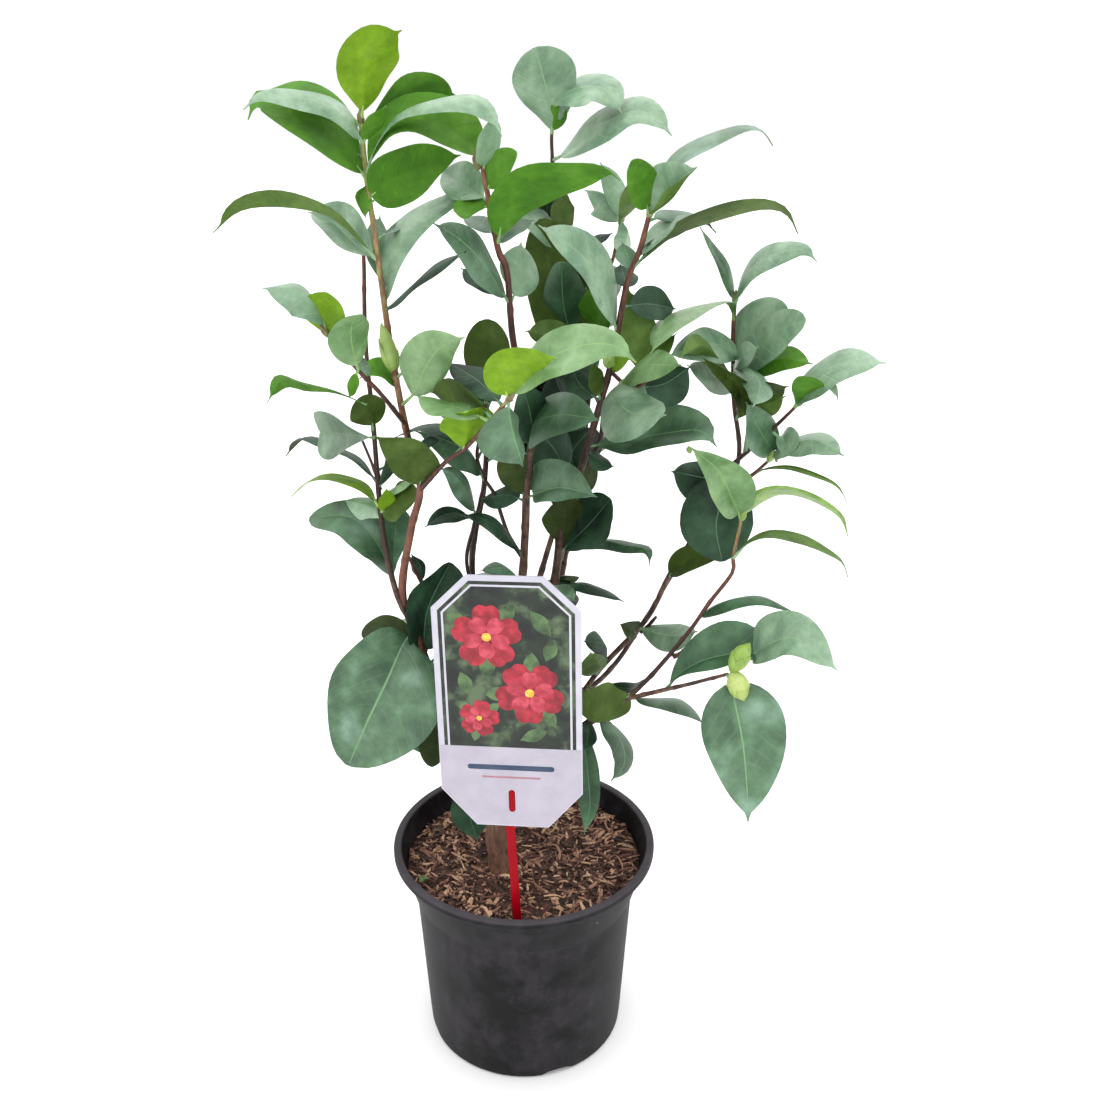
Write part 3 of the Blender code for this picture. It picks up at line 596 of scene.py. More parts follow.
Limb("bough_left", 1.8, 1.1, 0.8, 0.3, mm((-62, -31, 312), (-70, -33, 332), (-78, -16, 356), (-82, 0, 376),
    (-86, 20, 415), (-90, 35, 464), (-90, 46, 505)) + sights((362, 232, 46)))
Limb("bough_far_back", 1.5, 0.9, 0.9, 0.75, mm((36, 51, 388), (38, 58, 440), (32, 60, 500), (21, 60, 545),
    (18, 60, 568)) + sights((553, 106, 60)))
Limb("twig_left_front", 1.4, 0.9, 0.6, 0.15, mm((-54, -36, 397), (-38, -54, 419), (-26, -66, 431),
    (-13, -83, 450)) + sights((508, 400, -90)))
Limb("twig_left_outer", 1.3, 0.9, 0.6, 0.3, mm((-60, -36, 434), (-71, -49, 455), (-80, -60, 470))
    + sights((328, 335, -66)))
Limb("twig_right", 1.4, 0.9, 0.8, 0.4, mm((126, 22, 393), (137, 9, 410), (148, -8, 430))
    + sights((798, 404, -12)))
Limb("twig_buds", 1.4, 0.9, 0.9, 0.5, mm((62, -47, 273), (80, -64, 288), (94, -78, 300))
    + sights((728, 674, -90)))
LIMB_NODES = list(LIMBS)
# Side twigs too thin to count as limbs, each named for where it grows.
Limb("twig_stub_left", 1.3, 0.9, 0.8, 0.6, sights((424, 587, -14), (416, 572, -14), (409, 557, -14)))
Limb("twig_inner", 1.3, 0.9, 0.8, 0.5, sights((500, 640, -6), (468, 571, 10), (473, 529, 14),
    (480, 502, 12), (484, 480, 6), (477, 454, 2), (486, 408, 0), (484, 378, -4)))
Limb("twig_crossing", 1.4, 1.0, 0.8, 0.6, sights((524, 560, -8), (508, 534, -2), (495, 496, 2),
    (485, 480, 5)))
Limb("twig_right_inner", 1.9, 1.2, 0.9, 0.6, sights((536, 590, 2), (554, 529, 8), (563, 500, 12),
    (571, 470, 16)))
Limb("twig_twin", 1.8, 1.3, 0.9, 0.6, sights((560, 560, 10), (572, 506, 12), (585, 470, 8), (600, 440, 2),
    (604, 404, -4)))
Limb("twig_outer_low", 1.2, 0.9, 0.6, 0.3, sights((733, 486, 18), (752, 475, 12), (774, 456, 4)))
Limb("twig_tan", 1.3, 0.9, 0.3, 0.1, sights((590, 330, 74), (600, 290, 62), (612, 262, 50), (617, 240, 44),
    (621, 221, 40)))
Limb("twig_middle", 1.2, 0.8, 0.5, 0.2, sights((611, 372, -10), (633, 388, -20), (660, 370, -30)))
Limb("twig_skirt", 1.3, 0.9, 0.5, 0.3, sights((674, 657, -50), (700, 646, -58), (752, 656, -66)))
Limb("twig_label", 1.4, 1.0, 0.7, 0.4, sights((560, 742, -30), (590, 719, -38), (606, 706, -42)))
Limb("twig_low_front", 1.3, 0.9, 0.8, 0.7, sights((641, 632, 9), (648, 626, 5), (656, 617, 0)))
Limb("twig_left_thin", 1.0, 0.8, 0.9, 0.8, sights((381, 490, 24), (372, 464, 30), (362, 440, 34)))

# Camellia bark: smooth and thin, grey-brown and flaking on old wood, red-brown on stems, tan to green on
# this year's shoots. The age of the wood is stored on the mesh, and fine cracks run along it.
bark, tree, shader, place_on = finish_named("camellia bark")
wood_age = node(tree, "Attribute", attribute_name="age").outputs["Fac"]
cracks_at = node(tree, "Mapping", {"Vector": place_on, "Scale": (1.0, 1.0, 0.2)})
cracks = node(tree, "TexNoise", {"Vector": cracks_at, "Scale": 620.0, "Detail": 6.0, "Roughness": 0.7})
patches = node(tree, "TexNoise", {"Vector": place_on, "Scale": 170.0, "Detail": 3.0})
age_jitter = node(tree, "Math", {0: patches, 1: 0.5, 2: wood_age}, operation="MULTIPLY_ADD")
age_centred = node(tree, "Math", {0: age_jitter, 1: 0.25}, operation="SUBTRACT")
wood = node(tree, "ValToRGB", {"Fac": age_centred}, [(0.02, "#8f9a4e"), (0.16, "#9d8358"), (0.32,
    "#7a4835"), (0.55, "#552e25"), (0.8, "#3a231b"), (0.98, "#7c5b49")])
crack_shade = node(tree, "MapRange", {"Value": cracks, "From Min": 0.35, "From Max": 0.62, "To Min": 0.42,
    "To Max": 1.16})
bark_colour = node(tree, "Mix", {0: 1.0, 6: wood, 7: crack_shade}, data_type="RGBA", blend_type="MULTIPLY")
bark_bump = node(tree, "Bump", {"Strength": 0.7, "Distance": 0.0004, "Height": cracks})
feed(tree, shader, {"Base Color": bark_colour, "Normal": bark_bump, "Roughness": 0.55})


def bark_piece(name, limbs):
    """Joins the tubes of some limbs into one piece with the bark on it."""
    places, faces, ages = [], [], []
    for limb in limbs:
        more_places, more_ages = limb.build()
        faces += tube_faces(len(places), len(limb.route), LIMB_SIDES)
        places += more_places
        ages += more_ages
    piece = solid(name, places, faces)
    piece.data.attributes.new("age", "FLOAT", "POINT").data.foreach_set("value", ages)
    piece.data.materials.append(bark)
    piece.data.shade_smooth()
    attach(piece, "root")
    return piece


for name in LIMB_NODES:
    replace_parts(bark_piece(name + "_bark", [LIMBS[name]]), name)
bark_piece("side_twigs", [limb for name, limb in LIMBS.items() if name not in LIMB_NODES])


# ---- Leaves -----------------------------------------------------------------------------------------
# Thick leathery blades with a drip tip and a pale midrib, dark and waxy above and dull yellow-green
# below. Each leaf is its own thin closed shape that grows on a stalk from its limb.
BLADE_STEPS = 20
ACROSS = (-1, -0.74, -0.48, -0.22, -0.02, 0.02, 0.22, 0.48, 0.74, 1)
BLADE_THICKNESS = 0.5 * MM
STALK_SIDES = 6
STALK_RINGS = 5
STALK_RADIUS = 0.95 * MM
MASK_CELL = 2


def leaf_finish(name, side, colour, shade, vein_and_sheen, vein_share, roughness, specular, coat):
    """One side of a leaf. Its map holds mm across and along the blade, a hundredth each."""
    made, tree, shader, place_on = finish_named(name)
    map_at = node(tree, "UVMap", uv_map="blade").outputs["UV"]
    apart = node(tree, "SeparateXYZ", {"Vector": map_at})
    centred = node(tree, "Math", {0: apart.outputs["X"], 1: 0.5}, operation="SUBTRACT")
    out = node(tree, "Math", {0: centred}, operation="ABSOLUTE")
    lean = node(tree, "Math", {0: out, 1: 2.2, 2: 0.45}, operation="MULTIPLY_ADD")
    shift = node(tree, "Math", {0: out, 1: lean}, operation="MULTIPLY")
    run = node(tree, "Math", {0: apart.outputs["Y"], 1: shift}, operation="SUBTRACT")
    # Side veins leave the midrib about every 9 mm, none of them quite straight.
    stray = node(tree, "TexNoise", {"Vector": place_on, "Scale": 90.0, "Detail": 2.0})
    strayed = node(tree, "Math", {0: stray, 1: 0.05, 2: run}, operation="MULTIPLY_ADD")
    count = node(tree, "Math", {0: strayed, 1: 11.0}, operation="MULTIPLY")
    wave = node(tree, "Math", {0: count, 1: 0.5}, operation="PINGPONG")
    line = node(tree, "MapRange", {"Value": wave, "From Min": 0.0, "From Max": 0.11, "To Min": 1.0,
        "To Max": 0.0}, interpolation_type="SMOOTHSTEP")
    tone = node(tree, "TexNoise", {"Vector": place_on, "Scale": 48.0, "Detail": 3.0})
    mottle = node(tree, "TexNoise", {"Vector": place_on, "Scale": 190.0, "Detail": 5.0, "Roughness": 0.6})
    # On the upper side the palest tone is painted sheen: pale grey-green patches that stand for the sky's
    # reflection. The same colour draws the vein lines.
    base = node(tree, "ValToRGB", {"Fac": tone}, [(0.36, shade), (0.52, colour), (0.76, vein_and_sheen)])
    mottle_mix = node(tree, "MapRange", {"Value": mottle, "From Min": 0.3, "From Max": 0.7, "To Min": 0.8,
        "To Max": 1.18})
    mottled = node(tree, "Mix", {0: 1.0, 6: base, 7: mottle_mix}, data_type="RGBA", blend_type="MULTIPLY")
    faint = node(tree, "Math", {0: line, 1: vein_share}, operation="MULTIPLY")
    veined = node(tree, "Mix", {0: faint, 6: mottled, 7: linear(vein_and_sheen)}, data_type="RGBA")
    leather = node(tree, "TexNoise", {"Vector": place_on, "Scale": 620.0, "Detail": 3.0})
    skin = node(tree, "Bump", {"Strength": 0.22, "Distance": 0.0003, "Height": leather})
    relief = node(tree, "Bump", {"Strength": 0.3, "Distance": 0.0004, "Height": line, "Normal": skin},
        invert=side == "upper")
    feed(tree, shader, {"Base Color": veined, "Normal": relief, "Roughness": roughness,
        "Specular IOR Level": specular, "Coat Weight": coat, "Coat Roughness": 0.45, "Coat IOR": 1.5})
    return made


def rib_finish(name, colour):
    """The midrib and stalk: smooth green fibre, paler than the blade."""
    made, tree, shader, place_on = finish_named(name)
    fibre = node(tree, "TexNoise", {"Vector": place_on, "Scale": 500.0, "Detail": 2.0})
    light = node(tree, "MapRange", {"Value": fibre, "To Min": 0.8, "To Max": 1.2})
    mixed = node(tree, "Mix", {0: 1.0, 6: linear(colour), 7: light}, data_type="RGBA",
        blend_type="MULTIPLY")
    feed(tree, shader, {"Base Color": mixed, "Roughness": 0.45})
    return made


# Waxy cuticle above, which gives the sky back as a grey sheen, and a dull paler side below; the six ages run
# from this spring's soft blades to last year's dark ones. Above, each age's palest tone is painted sheen, and
# the full-grown leaves, the third age, are painted a pale grey-green all over their upper side for the sky's
# sheen.
LEAF_AGES = {}
for age, above, below, rib, *wax in (
    ("young", ("#88af54", "#6d953c", "#a2c070"), ("#72991a", "#658c14", "#7fa32e"), "#a3c468",
     0.14, 0.42, 0.4, 0.4),
    ("fresh", ("#769a64", "#5a824a", "#90b082"), ("#508422", "#457622", "#66943a"), "#86b066",
     0.14, 0.4, 0.4, 0.5),
    # Full-grown leaves: the pale grey-green of the upper side is painted sheen.
    ("grown", ("#82a282", "#64876a", "#a3bca4"), ("#577430", "#4d6a29", "#6c8a44"), "#8cb084",
     0.14, 0.4, 0.4, 0.5),
    ("mature", ("#527554", "#38583d", "#7b9b86"), ("#43591f", "#3b4f1a", "#5b7238"), "#729c6e",
     0.12, 0.42, 0.4, 0.4),
    ("late", ("#3c5f40", "#2a4a30", "#5a8060"), ("#3c4f1e", "#324319", "#506632"), "#618962",
     0.12, 0.45, 0.3, 0.2),
    ("old", ("#2a4731", "#1a2f21", "#3e5e47"), ("#34431c", "#2b3817", "#4a5a2e"), "#52755a",
     0.12, 0.5, 0.2, 0.1),
):
    LEAF_AGES[age] = (leaf_finish(age + " leaf upper side", "upper", *above, *wax),
                      leaf_finish(age + " leaf underside", "under", *below, 0.10, 0.6, 0.2, 0.0),
                      rib_finish(age + " midrib", rib))
LEAF_FINISHES = [finish for age in LEAF_AGES.values() for finish in age]
AGE_SLOT = {age: 3 * index for index, age in enumerate(LEAF_AGES)}

# What the listed leaves cover in the picture, and how far back the nearest of them lies there.
cover = np.full((PICTURE_SIDE // MASK_CELL, PICTURE_SIDE // MASK_CELL), np.inf)


def blade_width(t, widest, blunt):
    """Half width of a blade at t along it, as a share of the widest half, ending in a drip tip or blunt."""
    reach = 1.0 if blunt else 0.94
    body = np.sin(np.pi * np.minimum(t / reach, 1) ** (math.log(0.5) / math.log(widest / reach)))
    body = np.maximum(body, 0) ** (0.5 if blunt else 0.7)
    if blunt:
        return body
    drip = 1.15 * (1 - t) * np.clip((t - 0.6) / 0.2, 0, 1)
    return (np.abs(body) ** 4 + drip ** 4) ** 0.25


def edge_way(shown, middle, half, back):
    """From the midrib to an edge that shows at a place in the picture, half a leaf away from it."""
    ray = (seen(*shown[:2], 0) - VIEWER).normalized()
    closest = VIEWER + ray * (middle - VIEWER).dot(ray)
    spare = math.sqrt(max(0.0, half ** 2 - (closest - middle).length ** 2))
    return closest + ray * (spare if back else -spare) - middle


class Spray:
    """The leaves of one foliage mass. Each grows from the spray's own limb unless it names another."""

    def __init__(self, mass, limb):
        self.mass = mass
        self.limb = LIMBS[limb]
        self.places = []
        self.faces = []
        self.slots = []
        self.map = []

    def leaf(self, age, width, near, far, foot, *rib, widest=0.45, stalk=5, shows=None, blunt=False, twist=0,
             droop=0.10, on=None):
        """Grows a leaf from where the limb shows nearest to foot, along the seen points of its rib.

        The last point of the rib has its depth in mm, and others may. near and far are where its two
        edges show at the widest place. The upper side looks up, unless shows says which side is seen."""
        start = (LIMBS[on] if on else self.limb).near(*foot)
        shown = np.array([shows_at(start)] + [point[:2] for point in rib])
        run = np.concatenate(([0], np.cumsum(np.hypot(*np.diff(shown, axis=0).T))))
        known = [(0, start.y / MM)] + [(r, point[2]) for r, point in zip(run[1:], rib) if len(point) == 3]
        depths = np.interp(run, *zip(*known))
        points = [start] + [seen(u, v, depth) for (u, v), depth in zip(shown[1:], depths[1:])]
        route = smooth_route(points, 3 * MM)
        places, ways, first, length = self.follow(route, stalk, widest)
        middle = Vector(places_at(widest, self.steps, places))
        along = ways[int(np.abs(self.steps - widest).argmin())]
        edges = []
        for shown_edge, back in ((near, False), (far, True)):
            way = edge_way(shown_edge, middle, width / 2 * MM, back)
            edges.append(way - along * way.dot(along))
        upper = Vector((0, -0.35, 1))
        if shows:
            upper = (VIEWER - middle) * (1 if shows == "upper" else -1)
        if (edges[1] - edges[0]).cross(along).dot(upper) < 0:
            edges.reverse()
        rows, normals, half = self.shape(places, ways, edges, widest, twist, droop, blunt)
        self.add_skin(rows, normals, half, length * (1 - first), AGE_SLOT[age])
        self.add_stalk(route, first, AGE_SLOT[age] + 2)
        hide(rows)

    def follow(self, route, stalk, widest):
        """The midrib's places and ways at each step of the blade, the stalk's share and the whole length."""
        even = np.arange(BLADE_STEPS + 1) / BLADE_STEPS
        self.steps = 0.004 + 0.994 * (0.55 * even + 0.45 * (1 - np.cos(np.pi * even)) / 2)
        line = np.array(route)
        run = distances(line)
        first = min(0.35, stalk * MM / run[-1])
        at = (first + (1 - first) * self.steps) * run[-1]
        places = places_at(at, run, line)
        ahead = places_at(at + 2 * MM, run, line)
        behind = places_at(at - 2 * MM, run, line)
        ways = [Vector(way).normalized() for way in ahead - behind]
        return places, ways, first, run[-1]

    def shape(self, places, ways, edges, widest, twist, droop, blunt=False):
        """Rows of points across the blade and the normal at each."""
        at_widest = int(np.abs(self.steps - widest).argmin())
        turned = [None] * len(ways)
        turned[at_widest] = edges
        for order in (range(at_widest + 1, len(ways)), range(at_widest - 1, -1, -1)):
            for index in order:
                last = index - 1 if order.step > 0 else index + 1
                turn = ways[last].rotation_difference(ways[index])
                turned[index] = [turn @ edge for edge in turned[last]]
        half = (edges[0].length + edges[1].length) / 2
        luck = random.Random(round(places[0][0] * 1e6) + round(places[-1][2] * 1e6))
        phase = luck.uniform(0, 2 * math.pi)
        ripple = luck.uniform(0.02, 0.05)
        rows = []
        normals = []
        widths = blade_width(self.steps, widest, blunt)
        for index, (t, size) in enumerate(zip(self.steps, widths)):
            spin = Matrix.Rotation(math.radians(twist * (t - widest)), 3, ways[index])
            left, right = [spin @ edge for edge in turned[index]]
            lefts_up = ways[index].cross(left).normalized()
            rights_up = right.cross(ways[index]).normalized()
            up = lefts_up + rights_up
            up = up.normalized() if up.length > 0.2 else lefts_up
            centre = Vector(places[index])
            least = 0.25 * MM / half
            row = []
            row_up = []
            for share in ACROSS:
                edge, edge_up = (left, lefts_up) if share < 0 else (right, rights_up)
                out = abs(share)
                wave = ripple * out * math.sin(2 * math.pi * (1.6 * t + 0.2 * (share > 0)) + phase)
                lift = half * max(size, least) * (2 * wave - droop * out ** 2.5)
                row.append(centre + edge * (max(size, least) * out) + edge_up * lift)
                row_up.append((up * (1 - out) + edge_up * out).normalized())
            rows.append(row)
            normals.append(row_up)
        return rows, normals, np.maximum(widths * half, 0.25 * MM)

    def add_skin(self, rows, normals, half, length, slot):
        """The blade's two sides, which meet along its edge."""
        wide = len(ACROSS)
        top = len(self.places)
        for row, ups in zip(rows, normals):
            self.places += [p + up * (BLADE_THICKNESS / 2 if 0 < i < wide - 1 else 0) for i,
                (p, up) in enumerate(zip(row, ups))]
        under = len(self.places)
        for row, ups in zip(rows, normals):
            self.places += [p - up * BLADE_THICKNESS / 2 for p, up in zip(row[1:-1], ups[1:-1])]

        def below(step, column):
            if column in (0, wide - 1):
                return top + step * wide + column
            return under + step * (wide - 2) + column - 1

        def spot(step, column):
            across = ACROSS[column] * half[step] / MM / 100 + 0.5
            return across, self.steps[step] * length / MM / 100

        for step in range(len(rows) - 1):
            for column in range(wide - 1):
                corners = [(step, column), (step, column + 1), (step + 1, column + 1), (step + 1, column)]
                rib = 2 if column == wide // 2 - 1 else 0
                self.faces.append([top + s * wide + c for s, c in corners])
                self.slots.append(slot + rib)
                self.map += [spot(s, c) for s, c in corners]
                corners.reverse()
                self.faces.append([below(s, c) for s, c in corners])
                self.slots.append(slot + 1)
                self.map += [spot(s, c) for s, c in corners]
        for step, last in ((0, False), (len(rows) - 1, True)):
            for column in range(wide - 1):
                face = [top + step * wide + column, below(step, column), below(step, column + 1),
                    top + step * wide + column + 1]
                face = list(dict.fromkeys(face))
                if last:
                    face.reverse()
                self.faces.append(face)
                self.slots.append(slot + 2)
                self.map += [(0.5, 0.0)] * len(face)

    def add_stalk(self, route, first, slot):
        """The leaf stalk, from inside the bark to just inside the blade."""
        line = np.array(route)
        run = distances(line)
        base = len(self.places)
        stops = [(first + 0.06) * run[-1] * ring / (STALK_RINGS - 1) for ring in range(STALK_RINGS)]
        centres = [Vector(places_at(stop, run, line)) for stop in stops]
        side = None
        for ring, centre in enumerate(centres):
            along = (centres[min(ring + 1, STALK_RINGS - 1)] - centres[max(ring - 1, 0)]).normalized()
            side = side or along.orthogonal()
            side = (side - along * side.dot(along)).normalized()
            other = along.cross(side)
            size = STALK_RADIUS * (1.25 - 0.8 * ring / (STALK_RINGS - 1))
            for corner in range(STALK_SIDES):
                turn = 2 * math.pi * corner / STALK_SIDES
                self.places.append(centre + (side * math.cos(turn) + other * math.sin(turn)) * size)
        faces = tube_faces(base, STALK_RINGS, STALK_SIDES)
        self.faces += faces
        self.slots += [slot] * len(faces)
        self.map += [(0.5, 0.0)] * sum(len(face) for face in faces)

    def finish(self):
        """Makes the spray one piece and lets it stand for its mass."""
        piece = solid(self.mass.replace("leaves", "foliage"), self.places, self.faces)
        mesh = piece.data
        for finish in LEAF_FINISHES:
            mesh.materials.append(finish)
        mesh.polygons.foreach_set("material_index", self.slots)
        layer = mesh.uv_layers.new(name="blade")
        layer.data.foreach_set("uv", [number for pair in self.map for number in pair])
        mesh.shade_smooth()
        mesh.set_sharp_from_angle(angle=math.radians(70))
        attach(piece, "root")
        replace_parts(piece, self.mass)


def hide(rows):
    """Notes what a leaf's strips cover in the picture, and the depth they cover it at."""
    for row, after in zip(rows, rows[1:]):
        corners = [shows_at(p) for p in (row[0], row[4], row[-1], after[-1], after[5], after[0])]
        depth = max(p.y for p in (row[0], row[4], row[-1]))
        across = [u / MASK_CELL for u, v in corners]
        down = [v / MASK_CELL for u, v in corners]
        left, right = int(min(across)), int(max(across)) + 1
        top, bottom = int(min(down)), int(max(down)) + 1
        grid_down, grid_across = np.mgrid[top:bottom, left:right] + 0.5
        inside = np.zeros(grid_down.shape, bool)
        for i in range(len(corners)):
            j = i - 1
            crosses = (down[i] > grid_down) != (down[j] > grid_down)
            slope = (across[j] - across[i]) / ((down[j] - down[i]) or 1e-9)
            inside ^= crosses & (grid_across < across[i] + (grid_down - down[i]) * slope)
        part = cover[top:bottom, left:right]
        part[inside] = np.minimum(part[inside], depth)


SPRAYS = {}


def spray(mass, limb):
    """Starts the spray for one mass; returns what grows its leaves."""
    SPRAYS[mass] = Spray("leaves_" + mass, limb)
    return SPRAYS[mass].leaf


# Top of the left stem: the tallest shoot, its upper leaves still soft and bright.
leaf = spray("left_top", "stem_left")
leaf("young", 33, (332, 66), (398, 56), (362, 118), (364, 98), (366, 72), (380, 44), (402, 30, -44),
     widest=0.52, shows="under")
leaf("grown", 20, (318, 113), (326, 93), (363, 142), (350, 122), (325, 105), (290, 97), (260, 97),
     (243, 110, -56), widest=0.32, stalk=3)
leaf("fresh", 38, (320, 155), (346, 120), (362, 180), (352, 160), (330, 138), (300, 120), (274, 106),
     (257, 101), (248, 120, -40), widest=0.42, stalk=4, shows="under")
leaf("fresh", 24, (300, 98), (292, 79), (358, 128), (330, 94), (296, 84), (262, 92, -20), widest=0.5,
     shows="under")
leaf("fresh", 30, (412, 71), (410, 118), (365, 132), (390, 108), (425, 92), (458, 96, -6), widest=0.5,
     shows="under")
leaf("fresh", 12, (366, 117), (387, 116), (364, 142), (373, 122), (386, 106, -44), stalk=2, shows="under")
leaf("fresh", 34, (448, 148), (466, 104), (366, 174), (374, 150), (388, 128), (416, 119), (448, 127),
     (480, 154, -30), widest=0.66, shows="under", blunt=True)
leaf("grown", 22, (452, 112), (455, 93), (366, 174), (377, 144), (398, 115), (432, 101), (470, 98),
     (490, 111), (502, 137, -52), widest=0.7)
leaf("fresh", 34, (388, 149), (392, 212), (365, 196), (392, 180), (428, 163), (461, 155, -12), widest=0.3,
     stalk=1, shows="under")
leaf("fresh", 13, (354, 196), (374, 204), (364, 186), (358, 200), (366, 218, -36), stalk=1, shows="under")
leaf("grown", 12, (343, 142), (354, 134), (364, 158), (352, 146), (345, 132, -10), stalk=3)

# Second tier of the left stem, with the longest arching leaf.
leaf = spray("left_upper", "stem_left")
leaf("grown", 28, (262, 189), (290, 193), (374, 262), (356, 238), (330, 217), (300, 209), (262, 207),
     (236, 213), (213, 233, -44), widest=0.6)
leaf("grown", 30, (333, 241), (349, 203), (374, 264), (356, 245), (334, 223), (308, 212, 6))
leaf("mature", 22, (366, 248), (393, 244), (382, 290), (379, 252), (380, 215, 6))
leaf("grown", 24, (414, 240), (397, 216), (388, 308), (388, 264), (400, 234), (424, 214), (450, 200),
     (472, 176, -12), widest=0.45)
leaf("old", 28, (426, 279), (424, 272), (389, 308), (425, 275), (467, 251, -60), stalk=2)
leaf("mature", 20, (414, 222), (416, 206), (376, 242), (400, 224), (424, 207), (446, 203, 20))

# Outer twig of the left stem.
leaf = spray("left_outer", "twig_left_outer")
leaf("young", 28, (349, 315), (304, 313), (332, 342), (331, 330), (328, 312), (326, 292, -72), widest=0.52,
     stalk=2, shows="under", blunt=True)
leaf("grown", 27, (294, 315), (296, 280), (326, 326), (316, 306), (296, 290), (262, 288, -72), widest=0.5)
leaf("fresh", 26, (328, 334), (371, 338), (357, 371), (352, 346), (351, 328), (356, 315, -78), widest=0.55,
     stalk=3, shows="upper", blunt=True)
leaf("fresh", 14, (287, 388), (288, 377), (352, 408), (334, 391), (304, 385), (282, 380), (267, 403, -74),
     widest=0.72, shows="under", on="bough_left")
leaf("fresh", 10, (346, 386), (359, 384), (357, 370), (352, 388), (349, 398, -70), stalk=2, shows="under")
leaf("mature", 12, (352, 362), (368, 360), (366, 378), (362, 366), (356, 352, -40), stalk=2)

# Middle of the left side.
leaf = spray("left_middle", "stem_left")
leaf("grown", 30, (326, 460), (326, 410), (376, 438), (358, 436), (340, 434), (320, 432, -52), widest=0.76,
     blunt=True, on="bough_left")
leaf("mature", 27, (442, 458), (394, 474), (418, 486), (419, 464), (402, 447), (374, 436, -66), stalk=2,
     shows="under")
leaf("old", 24, (325, 447), (325, 438), (377, 484), (360, 461), (340, 449), (313, 438), (299, 440),
     (286, 456, 22), on="bough_left")
leaf("old", 22, (424, 431), (424, 421), (462, 449), (448, 431), (424, 425), (394, 438, -20),
     on="twig_left_front")
leaf("fresh", 29, (452, 366), (403, 348), (408, 406), (415, 392), (424, 370), (440, 348), (465, 337, -76),
     widest=0.4, stalk=12, shows="upper")
leaf("mature", 24, (346, 410), (386, 409), (374, 434), (370, 414), (360, 397, 18), shows="under",
     blunt=True, on="bough_left")
leaf("young", 22, (336, 484), (335, 475), (378, 508), (362, 486), (336, 478), (309, 481), (291, 497, 14),
     shows="under", on="bough_left")
leaf("old", 10, (384, 466), (397, 466), (380, 488), (391, 470), (388, 450, 2), stalk=2, on="bough_left")
leaf("fresh", 14, (376, 377), (382, 357), (397, 392), (388, 374), (374, 370), (359, 379, -28), stalk=3,
     shows="under")
leaf("old", 14, (425, 450), (428, 436), (409, 455), (424, 440), (440, 441, -50), stalk=2)

# Low on the left.
leaf = spray("left_low", "bough_left")
leaf("mature", 33, (348, 541), (354, 495), (394, 580), (386, 560, -6), (370, 534, 2), (346, 516),
     (309, 519, 8), widest=0.58, blunt=True)
leaf("grown", 20, (366, 522), (366, 494), (389, 522), (370, 507), (344, 500, 4), stalk=3)
leaf("late", 20, (384, 520), (412, 520), (396, 580), (394, 545), (398, 508, 8), widest=0.7, blunt=True)
leaf("young", 10, (379, 499), (395, 502), (384, 514), (387, 500), (386, 488, -12), stalk=2)
leaf("mature", 26, (404, 518), (404, 482), (384, 512), (398, 503), (421, 492, -20), stalk=2, shows="under")
leaf("fresh", 14, (398, 493), (396, 484), (383, 500), (395, 490), (412, 483, -14), stalk=2)

# The large old leaf low on the left, and those beside the label.
leaf = spray("left_skirt", "stem_left")
leaf("mature", 69, (328, 692), (452, 688), (414, 632), (403, 644), (386, 682), (366, 724), (348, 766, -88),
     widest=0.45, blunt=True)
leaf("old", 22, (378, 642), (376, 617), (412, 640), (394, 629), (362, 631, -20), widest=0.6, stalk=3,
     shows="under", blunt=True)
leaf("old", 40, (411, 606), (472, 602), (418, 656), (427, 610), (450, 562, -16), stalk=2, blunt=True)
leaf("old", 22, (416, 740), (450, 744), (440, 700), (442, 722), (434, 742), (432, 767, -40), stalk=4,
     shows="under", blunt=True)
leaf("old", 9, (410, 564), (426, 566), (424, 580), (420, 566), (411, 554, -4), stalk=2, on="twig_stub_left")

leaf = spray("inner_left", "trunk")
leaf("old", 30, (452, 806), (492, 822), (492, 786), (478, 798), (470, 816), (478, 842, -44), widest=0.5)

# Head of the centre stem.
leaf = spray("centre_top", "stem_centre")
leaf("fresh", 16, (508, 176), (489, 157), (490, 192), (497, 170), (517, 152, -46), stalk=2, shows="under",
     blunt=True)
leaf("grown", 16, (478, 142), (502, 141), (483, 172), (488, 142), (492, 119, -50), stalk=2, shows="upper",
     blunt=True)
leaf("fresh", 36, (536, 158), (542, 202), (499, 244), (507, 206), (532, 183), (572, 174), (604, 169),
     (621, 181, -74))
leaf("mature", 29, (463, 263), (485, 240), (505, 304), (483, 264), (460, 240), (433, 223, -66))
leaf("grown", 27, (501, 262), (541, 268), (507, 306), (519, 282), (521, 242, -22))
leaf("old", 20, (478, 290), (480, 267), (504, 298), (483, 281), (461, 268, -12))
leaf("mature", 18, (478, 231), (480, 213), (495, 234), (480, 223), (462, 218, 2))
leaf("mature", 18, (512, 238), (514, 216), (497, 246), (510, 230), (534, 220, 0), stalk=2)
leaf("grown", 24, (452, 197), (468, 161), (487, 204), (468, 188), (441, 170, 0))
leaf("fresh", 24, (470, 220), (468, 192), (492, 208), (476, 207), (452, 204, -30), stalk=2, shows="under")

